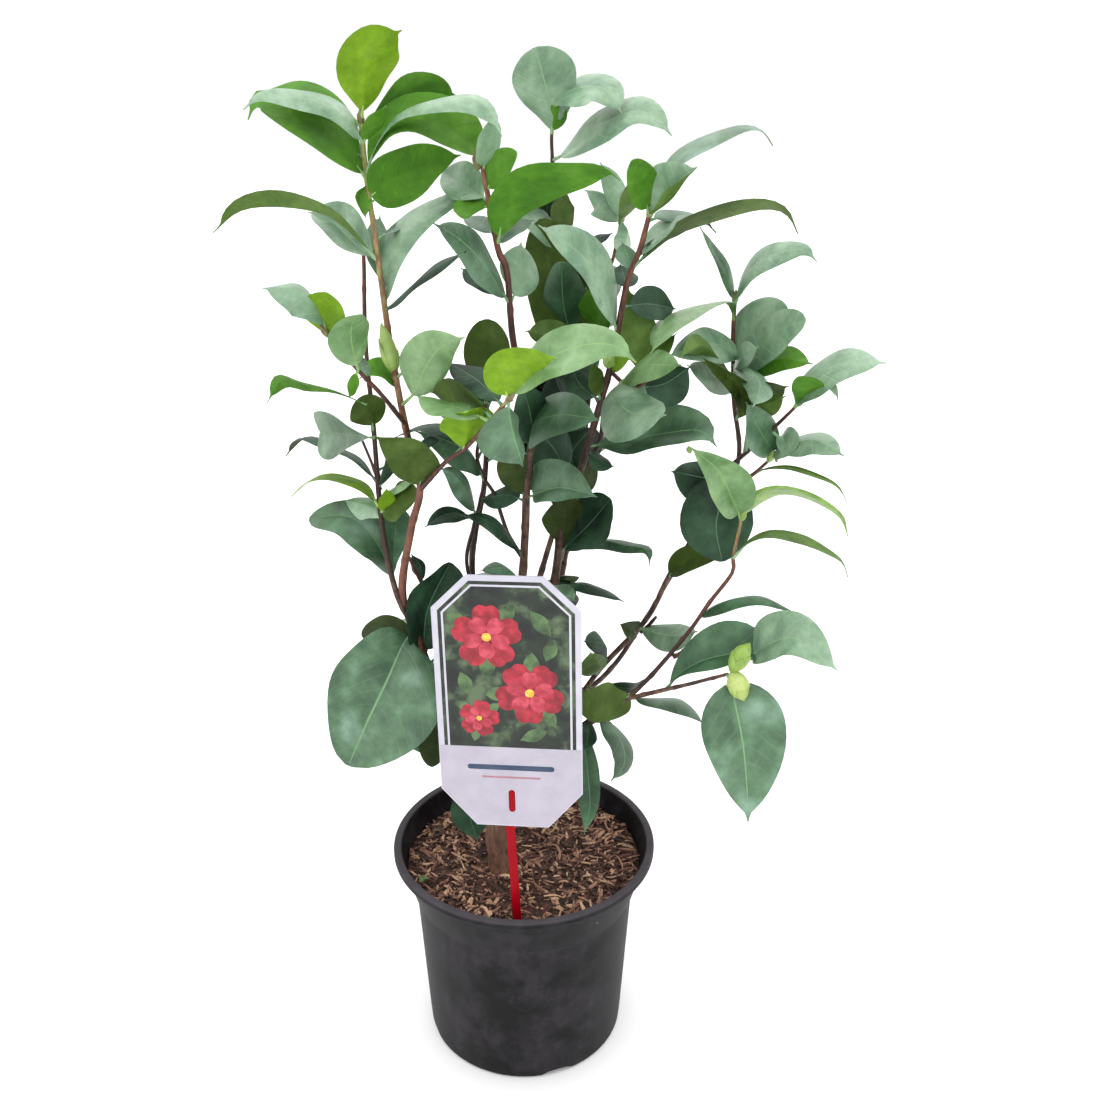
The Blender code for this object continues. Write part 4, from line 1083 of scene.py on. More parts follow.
# Middle of the crown, in front.
leaf = spray("centre_middle", "twig_left_front")
leaf("young", 28, (485, 362), (530, 386), (508, 402), (506, 386), (513, 370), (532, 358), (557, 358, -112),
     widest=0.4, stalk=3, shows="under")
leaf("fresh", 36, (580, 365), (580, 317), (508, 400), (525, 380), (550, 358), (585, 345), (615, 346),
     (636, 363, -112))
leaf("mature", 30, (476, 440), (527, 440), (509, 401), (511, 425), (523, 467, -92), widest=0.5, stalk=3)
leaf("fresh", 24, (442, 416), (450, 398), (488, 421), (462, 409), (437, 404), (415, 395, -66))
leaf("young", 30, (440, 417), (492, 420), (464, 449), (467, 436), (468, 424), (466, 412, -84), widest=0.6,
     stalk=2, shows="under", blunt=True)
leaf("mature", 28, (468, 382), (466, 412), (492, 418), (466, 396), (430, 392, -44))
leaf("mature", 27, (558, 498), (541, 460), (534, 498), (560, 488), (597, 497, -34), widest=0.3,
     on="stem_centre")
leaf("mature", 36, (543, 440), (538, 396), (524, 446), (534, 424), (562, 415), (600, 420, -56), widest=0.36,
     on="stem_centre")
leaf("old", 24, (495, 468), (533, 470), (526, 502), (518, 478), (503, 449, -30), shows="under",
     on="stem_centre")
leaf("young", 12, (617, 345), (626, 364), (610, 372), (622, 352), (636, 362, -100), stalk=2, shows="under",
     on="twig_middle")
leaf("grown", 22, (544, 346), (556, 321), (590, 352), (572, 345), (548, 336), (525, 331, -20),
     on="stem_back_right")
leaf("old", 24, (469, 393), (484, 366), (502, 405), (478, 381), (447, 362, -36))

leaf = spray("centre_low", "stem_centre")
leaf("mature", 25, (464, 342), (510, 340), (482, 404), (487, 358), (487, 319, -8), widest=0.55,
     shows="under", blunt=True, on="twig_inner")
leaf("old", 20, (454, 521), (458, 503), (475, 522), (456, 513), (440, 517), (425, 527, -4), on="twig_inner")
leaf("old", 17, (496, 536), (502, 522), (519, 558), (504, 533), (484, 520), (464, 514, -24), widest=0.5)
leaf("late", 30, (452, 464), (466, 440), (485, 480), (470, 454), (444, 440), (415, 431, -22),
     on="twig_inner")
leaf("mature", 16, (453, 494), (470, 482), (474, 516), (469, 496), (454, 475), (439, 468, -22),
     on="twig_inner")
leaf("old", 19, (504, 508), (508, 484), (527, 502), (505, 495), (480, 500, 6))
leaf("mature", 16, (494, 575), (496, 561), (524, 582), (506, 568), (480, 571, -26))
leaf("old", 34, (606, 534), (580, 498), (560, 556), (586, 528), (611, 499, 4), widest=0.6, blunt=True,
     on="stem_right")
leaf("old", 20, (576, 478), (600, 474), (584, 504), (587, 484), (592, 456, 8), stalk=3, shows="under",
     on="stem_right")
leaf("old", 28, (542, 516), (582, 516), (556, 548), (566, 522), (564, 494, 0), shows="under",
     on="stem_right")
leaf("old", 30, (530, 462), (574, 440), (572, 480), (556, 452), (536, 428, 6), on="twig_right_inner")
leaf("old", 32, (534, 404), (584, 400), (580, 470), (570, 420), (552, 368, 30), shows="upper",
     on="stem_back_right")
leaf("old", 22, (566, 386), (600, 372), (596, 404), (586, 384), (572, 362, 4), shows="upper", blunt=True,
     on="stem_right")
leaf("old", 26, (512, 412), (548, 408), (528, 452), (531, 420), (522, 384, -40), shows="upper",
     on="stem_centre")
leaf("old", 24, (562, 440), (606, 446), (590, 480), (572, 452), (596, 424, 22), shows="upper",
     on="stem_back_right")

# Far stem, seen over the centre.
leaf = spray("back_top", "bough_far_back")
leaf("grown", 38, (510, 72), (578, 78), (553, 136), (551, 108), (543, 76), (535, 47, 52), widest=0.64,
     stalk=2, blunt=True)
leaf("fresh", 11, (547, 106), (569, 108), (553, 132), (556, 116), (560, 97, 56), stalk=2, shows="under")
leaf("grown", 34, (592, 101), (594, 70), (554, 116), (558, 98), (580, 88), (604, 89), (622, 114, 40))
leaf("grown", 30, (612, 134), (604, 104), (558, 160), (575, 148), (604, 124), (635, 111), (656, 118),
     (672, 136, 36))
leaf("grown", 24, (590, 214), (604, 184), (620, 224), (606, 196), (584, 190, 50), stalk=2, on="twig_tan")
leaf("old", 14, (546, 210), (567, 206), (564, 224), (556, 208), (549, 193, 56), stalk=2)
leaf("grown", 26, (540, 240), (546, 210), (570, 246), (548, 228), (516, 214, 40), stalk=3)
leaf("old", 18, (596, 246), (590, 238), (578, 266), (592, 242), (613, 233, 60))
leaf("mature", 20, (548, 212), (574, 212), (566, 236), (560, 212), (562, 192, 54), stalk=2, shows="under",
     blunt=True)

leaf = spray("right_top", "stem_right")
leaf("fresh", 24, (624, 184), (661, 188), (648, 218), (643, 190), (632, 160, -44), shows="under",
     blunt=True)
leaf("grown", 32, (667, 186), (655, 163), (650, 218), (671, 200), (687, 178), (697, 167, -54), stalk=2)
leaf("mature", 28, (707, 147), (702, 133), (649, 214), (659, 186), (675, 160), (706, 140), (742, 127),
     (762, 131), (773, 146, -22))
leaf("mature", 20, (703, 227), (700, 212), (641, 274), (652, 250), (674, 232), (702, 219), (738, 209),
     (770, 206), (788, 214), (798, 234, -50), widest=0.42, shows="under")
leaf("grown", 20, (676, 226), (662, 216), (641, 262), (650, 242), (668, 224), (700, 214, -20), stalk=3)
leaf("old", 16, (690, 228), (692, 216), (644, 250), (676, 226), (700, 218), (716, 233, -14), stalk=3)
leaf("mature", 22, (682, 222), (681, 208), (647, 222), (672, 215), (700, 218), (716, 232, 4))
leaf("grown", 16, (619, 202), (642, 197), (620, 222), (630, 204), (628, 181, 10), stalk=2, on="twig_tan")
leaf("grown", 15, (613, 241), (632, 241), (621, 222), (628, 232), (622, 254, 0), stalk=2, on="twig_tan")
leaf("grown", 18, (600, 182), (622, 176), (621, 222), (612, 190), (600, 162, 40), stalk=2, on="twig_tan")
leaf("mature", 14, (617, 260), (637, 252), (633, 272), (628, 258), (622, 242, -16), stalk=2)
leaf("old", 16, (612, 278), (638, 275), (628, 288), (624, 277), (620, 264, 6), stalk=2)

leaf = spray("right_middle", "stem_right")
leaf("grown", 34, (580, 270), (612, 258), (613, 334), (606, 296), (583, 257), (538, 225, -52))
leaf("grown", 26, (615, 324), (655, 320), (636, 386), (641, 358), (637, 325), (628, 288, -2), stalk=10,
     shows="under", on="twig_middle")
leaf("grown", 36, (606, 438), (646, 390), (622, 380), (616, 390), (622, 406), (640, 416), (666, 415, -84),
     widest=0.45, stalk=2, on="twig_middle")
leaf("mature", 38, (656, 447), (676, 402), (600, 448), (630, 441), (664, 434), (700, 431), (717, 447, -38),
     widest=0.54)
leaf("old", 26, (674, 406), (656, 366), (636, 386), (664, 384), (690, 367, -18), on="twig_middle")
leaf("fresh", 24, (646, 381), (646, 352), (622, 380), (642, 366), (682, 365, -62), widest=0.4, stalk=1,
     on="twig_middle")
leaf("old", 20, (656, 320), (656, 286), (626, 306), (648, 304), (676, 309, 6), shows="upper")
leaf("old", 20, (562, 386), (595, 380), (600, 402), (581, 386), (571, 367, -8))
leaf("mature", 12, (587, 381), (604, 377), (602, 400), (596, 382), (592, 364, -30), shows="under")
leaf("old", 14, (599, 472), (604, 455), (594, 452), (601, 462), (614, 467, -6), stalk=2)

leaf = spray("right_outer", "bough_right")
leaf("grown", 22, (766, 270), (757, 250), (735, 304), (743, 280), (758, 263), (780, 253), (804, 250),
     (817, 262, -2), widest=0.42)
leaf("mature", 13, (720, 272), (731, 268), (734, 303), (727, 278), (715, 254), (700, 227, 20), widest=0.3)
leaf("fresh", 32, (684, 325), (676, 306), (733, 320), (731, 303), (715, 303), (690, 309), (668, 326),
     (650, 355, -34), widest=0.6, stalk=2)
leaf("grown", 20, (668, 357), (660, 333), (640, 380), (652, 354), (677, 333, -14), stalk=2, shows="under",
     on="twig_middle")
leaf("grown", 32, (770, 330), (744, 304), (736, 358), (748, 336), (764, 318), (788, 308, 16), stalk=3,
     blunt=True)
leaf("grown", 32, (780, 352), (770, 311), (736, 372), (754, 352), (780, 330), (806, 320, -14), stalk=4,
     blunt=True)
leaf("fresh", 24, (784, 371), (782, 349), (740, 376), (757, 366), (782, 359), (813, 364, -14), stalk=4,
     shows="under")
leaf("grown", 36, (712, 362), (722, 326), (758, 352), (736, 350), (708, 344), (668, 356, -26), widest=0.42,
     stalk=2)
leaf("grown", 18, (749, 364), (738, 347), (737, 376), (738, 364), (746, 354), (758, 348, -36), stalk=2,
     shows="upper")
leaf("grown", 17, (702, 338), (700, 360), (734, 378), (720, 360), (702, 346), (678, 358, -48), stalk=2,
     shows="under")
leaf("mature", 24, (724, 386), (756, 392), (750, 420), (742, 398), (732, 378), (700, 356, -26), stalk=2,
     shows="under")
leaf("grown", 20, (744, 386), (770, 381), (738, 366), (750, 370), (760, 386), (753, 407, -44), stalk=2)
leaf("grown", 20, (705, 387), (712, 366), (737, 392), (708, 377), (687, 365, -4), stalk=3)
leaf("grown", 32, (836, 384), (838, 346), (797, 406), (806, 386), (826, 370), (854, 361), (887, 363, -32),
     stalk=2, on="twig_right")
leaf("grown", 13, (827, 388), (847, 384), (812, 380), (824, 378), (836, 384), (838, 401, -34), widest=0.6,
     stalk=2, on="twig_right")
leaf("fresh", 20, (790, 380), (824, 384), (797, 406), (802, 392), (800, 376, -34), widest=0.66, stalk=2,
     shows="under", blunt=True, on="twig_right")
leaf("mature", 25, (772, 379), (770, 402), (744, 452), (752, 400), (766, 391), (789, 386, -4), widest=0.72,
     stalk=20, shows="under", on="twig_right")
leaf("grown", 24, (764, 390), (766, 418), (744, 450), (748, 412), (766, 404), (786, 396, -14), stalk=16,
     shows="under", on="twig_right")
leaf("mature", 32, (746, 440), (784, 434), (776, 456), (768, 444), (757, 426), (746, 402, -20), widest=0.36,
     stalk=3, on="twig_outer_low")
leaf("grown", 22, (780, 458), (782, 429), (774, 456), (782, 444), (798, 444, -16), stalk=2, blunt=True,
     on="twig_outer_low")
leaf("grown", 24, (812, 453), (812, 431), (769, 431), (789, 443), (815, 440), (844, 456, -34),
     on="twig_right")
leaf("old", 24, (685, 500), (694, 459), (730, 486), (704, 478), (671, 471, 18))

leaf = spray("right_low", "bough_right_front")
leaf("fresh", 30, (714, 497), (757, 494), (740, 520), (731, 496), (718, 470), (690, 447, -72), widest=0.35)
leaf("old", 45, (682, 518), (755, 504), (734, 468), (726, 492), (716, 524), (722, 562, -18), widest=0.56,
     blunt=True, on="bough_right")
leaf("grown", 17, (790, 470), (790, 464), (752, 478), (768, 468), (792, 467), (820, 476), (838, 486),
     (847, 502, -6), shows="under", on="twig_outer_low")
leaf("young", 20, (770, 487), (768, 500), (744, 520), (754, 502), (775, 491), (800, 494), (825, 505),
     (842, 518), (848, 537, -62), widest=0.24, shows="upper")
leaf("grown", 20, (784, 541), (784, 531), (736, 557), (750, 542), (772, 535), (800, 541), (823, 551),
     (842, 562), (848, 578, -62), shows="under")
leaf("mature", 18, (690, 573), (680, 548), (671, 580), (678, 567), (698, 557), (722, 558, -8), stalk=2,
     shows="under", on="bough_right")

leaf = spray("right_skirt", "twig_buds")
leaf("mature", 54, (698, 708), (790, 744), (728, 676), (735, 704), (743, 745), (747, 790), (748, 822, -116),
     widest=0.34)
leaf("grown", 32, (776, 655), (776, 610), (752, 656), (772, 643), (792, 638), (808, 645), (822, 657),
     (838, 671, -104), widest=0.3, stalk=2, on="twig_skirt")
leaf("late", 36, (722, 664), (716, 622), (668, 692), (680, 674), (700, 662), (722, 656), (748, 653),
     (776, 659, -66), widest=0.6, stalk=3)
leaf("late", 18, (742, 607), (742, 595), (707, 622), (714, 607), (736, 599), (766, 599), (797, 614, -52),
     widest=0.36, stalk=1, on="bough_right_front")

leaf = spray("inner_right", "bough_right_front")
leaf("mature", 24, (668, 709), (670, 696), (632, 702), (652, 700), (675, 703), (692, 712), (704, 725, -70))
leaf("old", 18, (628, 695), (630, 682), (652, 680), (630, 689), (606, 684, -8))
leaf("mature", 30, (606, 682), (606, 721), (636, 702), (612, 701), (566, 700, -52), widest=0.38, stalk=1,
     shows="under")
leaf("grown", 18, (578, 672), (606, 660), (608, 682), (600, 668), (590, 652, -54), stalk=3,
     on="bough_right")
leaf("old", 12, (590, 662), (608, 656), (602, 672), (604, 665), (596, 650, 0), stalk=2, on="bough_right")
leaf("old", 20, (594, 652), (599, 632), (607, 664), (605, 645), (583, 641, -18), stalk=2, on="bough_right")
leaf("grown", 24, (672, 653), (670, 622), (646, 632), (672, 636), (698, 631, -34), stalk=2,
     on="bough_right")
leaf("old", 14, (630, 642), (640, 621), (640, 632), (634, 632), (620, 624, -8), stalk=2, shows="under",
     on="bough_right")
leaf("late", 28, (612, 750), (636, 752), (597, 722), (611, 728), (622, 744), (624, 764), (611, 781, -66),
     on="twig_label")
leaf("old", 14, (581, 736), (598, 735), (592, 722), (588, 735), (585, 750, -54), stalk=2, on="twig_label")
leaf("late", 20, (575, 792), (601, 794), (584, 728), (588, 775), (590, 806), (584, 835, -62), stalk=3,
     on="twig_label")

leaf = spray("inner_middle", "stem_right")
leaf("late", 22, (620, 552), (622, 538), (578, 550), (600, 541), (626, 546), (646, 550), (650, 567, -8),
     on="stem_back_right")
leaf("old", 20, (586, 592), (586, 581), (553, 588), (580, 584), (604, 591), (624, 602, -4))
leaf("fresh", 18, (578, 306), (613, 306), (592, 352), (596, 308), (586, 288, 24), shows="under",
     on="stem_back_right")
leaf("late", 28, (540, 302), (589, 298), (590, 372), (566, 318), (561, 262, 30), shows="upper", blunt=True,
     on="stem_back_right")
leaf("mature", 40, (522, 264), (582, 262), (586, 420), (563, 330), (542, 218, 44), widest=0.66,
     shows="under", blunt=True, on="stem_back_right")

for mass, limb in (("back_left", "stem_back_left"), ("back_right", "stem_back_right"),
                   ("back_low", "stem_back_low"), ("back_inner", "stem_back_left")):
    spray(mass, limb)

# The leaves that the front ones hide. They grow round every limb by the shrub's own rule, each about
# 137 degrees on from the last, and stay only where the nearer leaves or the label cover them.
FULLEST_TURN = math.radians(137.5)
LEAF_GAP = 10 * MM
ROOM_SPARE = 7 * MM
RIM_CLEAR = 4 * MM
TRIES = 9
RISES = (8, 42)
MOST_SHOWN = 0.03
OLD_BELOW = 0.42
LABEL_TOP, LABEL_BOTTOM = 574, 826
LABEL_LEFT, LABEL_RIGHT = 434, 581
LABEL_BACK = -66 * MM
label_cover = cover[LABEL_TOP // MASK_CELL:LABEL_BOTTOM // MASK_CELL,
    LABEL_LEFT // MASK_CELL:LABEL_RIGHT // MASK_CELL]
np.minimum(label_cover, LABEL_BACK, out=label_cover)


def has_room(rows):
    """Whether a leaf stays inside the crown's own box and above the pot."""
    ends = np.array([p for row in rows for p in (row[0], row[5], row[-1])])
    low = np.array(cad_box[0]) - ROOM_SPARE
    high = np.array(cad_box[1]) + ROOM_SPARE
    return bool((ends >= low).all() and (ends <= high).all() and ends[:, 2].min() > POT_HEIGHT + RIM_CLEAR)


def shown_share(rows):
    """The share of a leaf that the leaves already placed leave in the viewer's sight."""
    spots = [p for row in rows[1:] for p in (row[0], row[2], row[5], row[7], row[-1])]
    open_spots = 0
    for spot in spots:
        across, down = shows_at(spot)
        if not cover[int(down / MASK_CELL), int(across / MASK_CELL)] < spot.y - 1 * MM:
            open_spots += 1
    return open_spots / len(spots)


def grow_hidden(mass, name, start=0.12, gap=LEAF_GAP, shortest=38, longest=78):
    """Grows a limb's hidden leaves, upward and outward, drooping at their tips."""
    grower = SPRAYS[mass]
    limb = LIMBS[name]
    luck = random.Random(mass + name + str(longest))
    run = 0.0
    due = start * sum((b - a).length for a, b in zip(limb.route, limb.route[1:]))
    turn = luck.uniform(0, 2 * math.pi)
    for before, place in zip(limb.route, limb.route[1:]):
        run += (place - before).length
        if run < due:
            continue
        due = run + gap * luck.uniform(0.7, 1.3)
        along = (place - before).normalized()
        side = along.orthogonal().normalized()
        other = along.cross(side)
        turn += FULLEST_TURN
        for attempt in range(TRIES):
            bearing = turn + luck.uniform(-0.5, 0.5) + attempt * 0.7
            out = side * math.cos(bearing) + other * math.sin(bearing)
            rise = math.radians(luck.uniform(*RISES))
            way = (out * math.cos(rise) + along * math.sin(rise)).normalized()
            length = luck.uniform(shortest, longest) * MM * (1 - 0.05 * attempt)
            sag = Vector((0, 0, -1)) * length * luck.uniform(0.05, 0.3)
            points = [place, place + way * length * 0.35, place + way * length * 0.7 + sag * 0.3,
                place + way * length + sag]
            route = smooth_route(points, 3 * MM)
            widest = luck.uniform(0.4, 0.5)
            places, ways, first, reach = grower.follow(route, 6, widest)
            middle_way = ways[int(np.abs(grower.steps - widest).argmin())]
            level = middle_way.cross(Vector((0, 0, 1))).normalized()
            tilt = Matrix.Rotation(luck.gauss(0, 0.3), 3, middle_way)
            level = tilt @ level
            lift = middle_way.cross(level) * luck.uniform(-0.35, -0.05)
            half = length * luck.uniform(0.21, 0.27)
            edges = [(-level + lift).normalized() * half, (level + lift).normalized() * half]
            if (edges[1] - edges[0]).cross(middle_way).z < 0:
                edges.reverse()
            rows, normals, halves = grower.shape(places, ways, edges, widest, luck.uniform(-12, 12), 0.1)
            if has_room(rows) and shown_share(rows) < MOST_SHOWN:
                age = luck.choice(("mature", "mature", "old")
                    if place.z < OLD_BELOW else ("fresh", "mature", "mature"))
                grower.add_skin(rows, normals, halves, reach * (1 - first), AGE_SLOT[age])
                grower.add_stalk(route, first, AGE_SLOT[age] + 2)
                break


HIDDEN = [("left_top", "stem_left"), ("left_outer", "twig_left_outer"), ("left_low", "bough_left"),
          ("centre_top", "stem_centre"), ("centre_middle", "twig_left_front"), ("centre_low", "twig_inner"),
          ("back_top", "bough_far_back"), ("right_middle", "stem_right"), ("right_outer", "bough_right"),
          ("right_outer", "twig_right"), ("right_low", "bough_right_front"), ("right_skirt", "twig_buds"),
          ("inner_middle", "twig_right_inner"), ("inner_middle", "twig_twin"), ("inner_right", "twig_label"),
          ("back_left", "stem_back_left"), ("back_right", "stem_back_right"), ("back_low", "stem_back_low"),
          ("back_inner", "stem_back_left"), ("back_inner", "stem_back_right"),
          ("back_right", "bough_far_back"), ("left_skirt", "stem_left"), ("left_low", "bough_left")]
for mass, limb in HIDDEN:
    grow_hidden(mass, limb)
LARGE_HIDDEN = [("back_left", "stem_back_left"), ("back_right", "stem_back_right"),
                ("back_low", "stem_back_low"), ("back_inner", "stem_back_right"),
                ("back_top", "bough_far_back")]
for mass, limb in LARGE_HIDDEN:
    grow_hidden(mass, limb, shortest=60, longest=90)
for each in SPRAYS.values():
    each.finish()


# ---- Buds -------------------------------------------------------------------------------------------
# Two fat flower buds in silky overlapping scales, and a slim pointed leaf bud at the end of every shoot.
# A bud is a solid core with its scales lapped round it, the lowest outermost.
SCALE_ACROSS = 9
SCALE_ALONG = 9


def bud_outline(t, blunt):
    """A bud's radius at t up it, as a share of its fattest."""
    return max(0.02, math.sin(math.pi * min(0.999, 0.06 + 0.94 * t) ** blunt)) ** 0.75


def add_bud(places, faces, foot, tip, radius, scales, blunt, luck):
    """Adds one bud's core and scales to the lists, in metres."""
    axis = (tip - foot).normalized()
    length = (tip - foot).length
    side = axis.orthogonal().normalized()
    other = axis.cross(side)
    base = len(places)
    rings, corners = 9, 12
    for ring in range(rings + 1):
        t = ring / rings
        size = radius * bud_outline(t, blunt) * 0.93
        for corner in range(corners):
            turn = 2 * math.pi * corner / corners
            places.append(foot + axis * (length * t) + (side * math.cos(turn)
                + other * math.sin(turn)) * size)
    faces += tube_faces(base, rings + 1, corners)
    for number in range(scales):
        layer = number / max(1, scales - 1)
        middle = number * FULLEST_TURN + luck.uniform(-0.2, 0.2)
        reach = 0.42 + 0.56 * layer
        spread = math.radians(88 - 12 * layer)
        lap = 1 + 0.11 * (1 - layer)
        under = len(places)
        for skin in (1.0, 0.93):
            for step in range(SCALE_ALONG + 1):
                t = reach * step / SCALE_ALONG
                narrow = math.sqrt(max(0.0, 1 - (step / SCALE_ALONG) ** 4))
                size = radius * bud_outline(t, blunt) * lap * skin
                lift = 0.25 * MM * (step / SCALE_ALONG) ** 3 if skin == 1.0 else 0
                for column in range(SCALE_ACROSS + 1):
                    turn = middle + spread * narrow * (2 * column / SCALE_ACROSS - 1)
                    way = side * math.cos(turn) + other * math.sin(turn)
                    places.append(foot + axis * (length * t) + way * (size + lift))
        wide = SCALE_ACROSS + 1
        inner = under + wide * (SCALE_ALONG + 1)
        for step in range(SCALE_ALONG):
            for column in range(SCALE_ACROSS):
                a = step * wide + column
                faces.append([under + a, under + a + 1, under + a + 1 + wide, under + a + wide])
                faces.append([inner + a, inner + a + wide, inner + a + 1 + wide, inner + a + 1])
            for column, order in ((0, 1), (SCALE_ACROSS, -1)):
                a = step * wide + column
                faces.append([under + a, under + a + wide, inner + a + wide, inner + a][::order])
        for row, order in ((0, -1), (SCALE_ALONG, 1)):
            for column in range(SCALE_ACROSS):
                a = row * wide + column
                faces.append([under + a, under + a + 1, inner + a + 1, inner + a][::order])


def bud_finish(name, low, high, gloss):
    """Bud scales: silky, paler where the light has not greened them."""
    made, tree, shader, place_on = finish_named(name)
    blush = node(tree, "TexNoise", {"Vector": place_on, "Scale": 120.0, "Detail": 3.0})
    blush_mix = node(tree, "MapRange", {"Value": blush, "From Min": 0.35, "From Max": 0.65})
    mixed = node(tree, "Mix", {0: blush_mix, 6: linear(low), 7: linear(high)}, data_type="RGBA")
    lines = node(tree, "TexNoise", {"Vector": place_on, "Scale": 900.0, "Detail": 2.0})
    silk = node(tree, "Bump", {"Strength": 0.3, "Distance": 0.0002, "Height": lines})
    feed(tree, shader, {"Base Color": mixed, "Normal": silk, "Roughness": 0.45, "Coat Weight": gloss})
    return made


def bud_piece(name, buds, finishes):
    """Makes a piece of buds, given as foot, tip, radius in mm, scales, bluntness and finish number."""
    places, faces, slots = [], [], []
    luck = random.Random(name)
    for foot, tip, radius, scales, blunt, finish in buds:
        add_bud(places, faces, foot, tip, radius * MM, scales, blunt, luck)
        slots += [finish] * (len(faces) - len(slots))
    piece = solid(name, places, faces)
    mesh = piece.data
    for finish in finishes:
        mesh.materials.append(finish)
    mesh.polygons.foreach_set("material_index", slots)
    mesh.shade_smooth()
    mesh.set_sharp_from_angle(angle=math.radians(50))
    select_only(piece)
    edit_all()
    bpy.ops.mesh.remove_doubles(threshold=0.00001)
    bpy.ops.mesh.normals_make_consistent(inside=False)
    bpy.ops.object.mode_set(mode="OBJECT")
    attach(piece, "root")


bud_piece("flower_buds", [(seen(731, 671, -91), seen(750, 643, -94), 5.0, 5, 1.05, 0),
    (seen(733, 671, -91), seen(744, 701, -98), 5.6, 5, 1.05, 1)],
    [bud_finish("flower bud in green scales", "#6f8f2c", "#8fae4c", 0.3),
    bud_finish("flower bud opening pale", "#9db353", "#bccb7e", 0.3)])

shoots = [(seen(394, 371, -34), seen(381, 323, -40), 4.4, 3, 0.8, 0),
    (seen(478, 170, -39), seen(476, 148, -42), 2.1, 4, 0.9, 1),
    (seen(743, 520, -46), seen(744, 508, -48), 1.6, 3, 0.9, 0),
    (seen(690, 453, -32), seen(688, 446, -34), 1.4, 3, 0.9, 0),
    (seen(768, 462, 2), seen(774, 450, 0), 2.0, 3, 0.9, 0),
    (seen(607, 366, -30), seen(614, 351, -40), 3.4, 4, 0.9, 0)]
for name in ("stem_left", "stem_right", "bough_right", "bough_far_back", "stem_back_right", "twig_left_front",
             "twig_left_outer", "twig_right", "bough_left", "twig_outer_low", "twig_skirt", "twig_tan"):
    end, before = LIMBS[name].route[-1], LIMBS[name].route[-3]
    way = (end - before).normalized()
    shoots.append((end - way * 1.5 * MM, end + way * 6.5 * MM, 1.7, 3, 0.8, 1))
bud_piece("leaf_buds", shoots, [bud_finish("leaf bud in green scales", "#7d9c46", "#9db765", 0.3),
    bud_finish("leaf bud in tan scales", "#6e5c38", "#858a50", 0.2)])


# ---- Label card -------------------------------------------------------------------------------------
# An octagon cut from white polypropylene sheet, printed on its front: a dark green picture field behind
# a white line, with plain red flowers and leaves, over a pale lilac panel. It clips to the stick's tab.
CARD_WIDTH = 82 * MM
CARD_HEIGHT = 159.5 * MM
CARD_CORNER = 20 * MM
HALF_CARD = CARD_HEIGHT / 2
CARD_THICKNESS = 0.8 * MM
SLOT_WIDTH = 3.9 * MM
SLOT_HEIGHT = 15 * MM
SLOT_MIDDLE = -62.5 * MM
INK = 0.04 * MM
CARD_PLACE = Matrix.Translation(Vector((-6, -70, 281)) * MM) @ Matrix.Rotation(math.radians(-6), 4, "Z")
CARD_PLACE @= Matrix.Rotation(math.radians(-1), 4, "Y")


def octagon(name, inset, low, high, front, thickness):
    """A flat octagon inside the card's outline, cut off level at low and high, as its own solid."""
    bpy.ops.object.select_all(action="DESELECT")
    bpy.ops.mesh.primitive_plane_add(size=1, location=(0, 0, 0))
    sheet = bpy.context.object
    sheet.name = name
    sheet.data.transform(Matrix.Diagonal((CARD_WIDTH - 2 * inset, CARD_HEIGHT - 2 * inset, 1, 1)))
    edit_all()
    chamfer = CARD_CORNER - inset * (2 - math.sqrt(2))
    bpy.ops.mesh.bevel(offset=chamfer, offset_type="OFFSET", segments=1, affect="VERTICES")
    for level, way in ((low, -1), (high, 1)):
        bpy.ops.mesh.select_all(action="SELECT")
        bpy.ops.mesh.bisect(plane_co=(0, level, 0), plane_no=(0, way, 0), clear_outer=True)
    bpy.ops.mesh.select_all(action="SELECT")
    bpy.ops.mesh.extrude_region_move(TRANSFORM_OT_translate={"value": (0, 0, thickness)})
    bpy.ops.object.mode_set(mode="OBJECT")
    face_outward(sheet)
    for corner in sheet.data.vertices:
        if abs(corner.co.y + HALF_CARD - CARD_CORNER) < 2 * MM:
            corner.co.y += 4 * MM
    sheet.data.transform(Matrix.Translation((0, -front, 0)) @ Matrix.Rotation(math.pi / 2, 4, "X"))
    return sheet


def cut_hole(sheet, width, height, middle):
    """Cuts a round-ended hole through a sheet."""
    bpy.ops.object.select_all(action="DESELECT")
    bpy.ops.mesh.primitive_cylinder_add(vertices=24, radius=width / 2, depth=0.02, location=(0, 0, 0))
    punch = bpy.context.object
    for corner in punch.data.vertices:
        corner.co.y += math.copysign((height - width) / 2, corner.co.y)
    punch.data.transform(Matrix.Translation((0, 0, middle)) @ Matrix.Rotation(math.pi / 2, 4, "X"))
    cutter = sheet.modifiers.new("slot", "BOOLEAN")
    cutter.object = punch
    select_only(sheet)
    bpy.ops.object.modifier_apply(modifier=cutter.name)
    bpy.data.objects.remove(punch, do_unlink=True)


def ink_finish(name, first, second, scale, roughness=0.42, third=None):
    """Offset ink on plastic: a tone broken into soft patches and the finest of screens."""
    made, tree, shader, place_on = finish_named(name)
    patch = node(tree, "TexNoise", {"Vector": place_on, "Scale": scale, "Detail": 3.0, "Roughness": 0.6})
    between = [(0.5, third)] if third else []
    patch_at = node(tree, "ValToRGB", {"Fac": patch}, [(0.36, first), *between, (0.64, second)])
    screen = node(tree, "TexNoise", {"Vector": place_on, "Scale": 2600.0, "Detail": 1.0})
    screen_bump = node(tree, "Bump", {"Strength": 0.1, "Distance": 0.00005, "Height": screen})
    feed(tree, shader, {"Base Color": patch_at, "Normal": screen_bump, "Roughness": roughness})
    return made


def printed(sheet, finish):
    """Finishes one layer of the label and puts it in the card's place."""
    sheet.data.transform(CARD_PLACE)
    sheet.data.materials.append(finish)
    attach(sheet, "root")


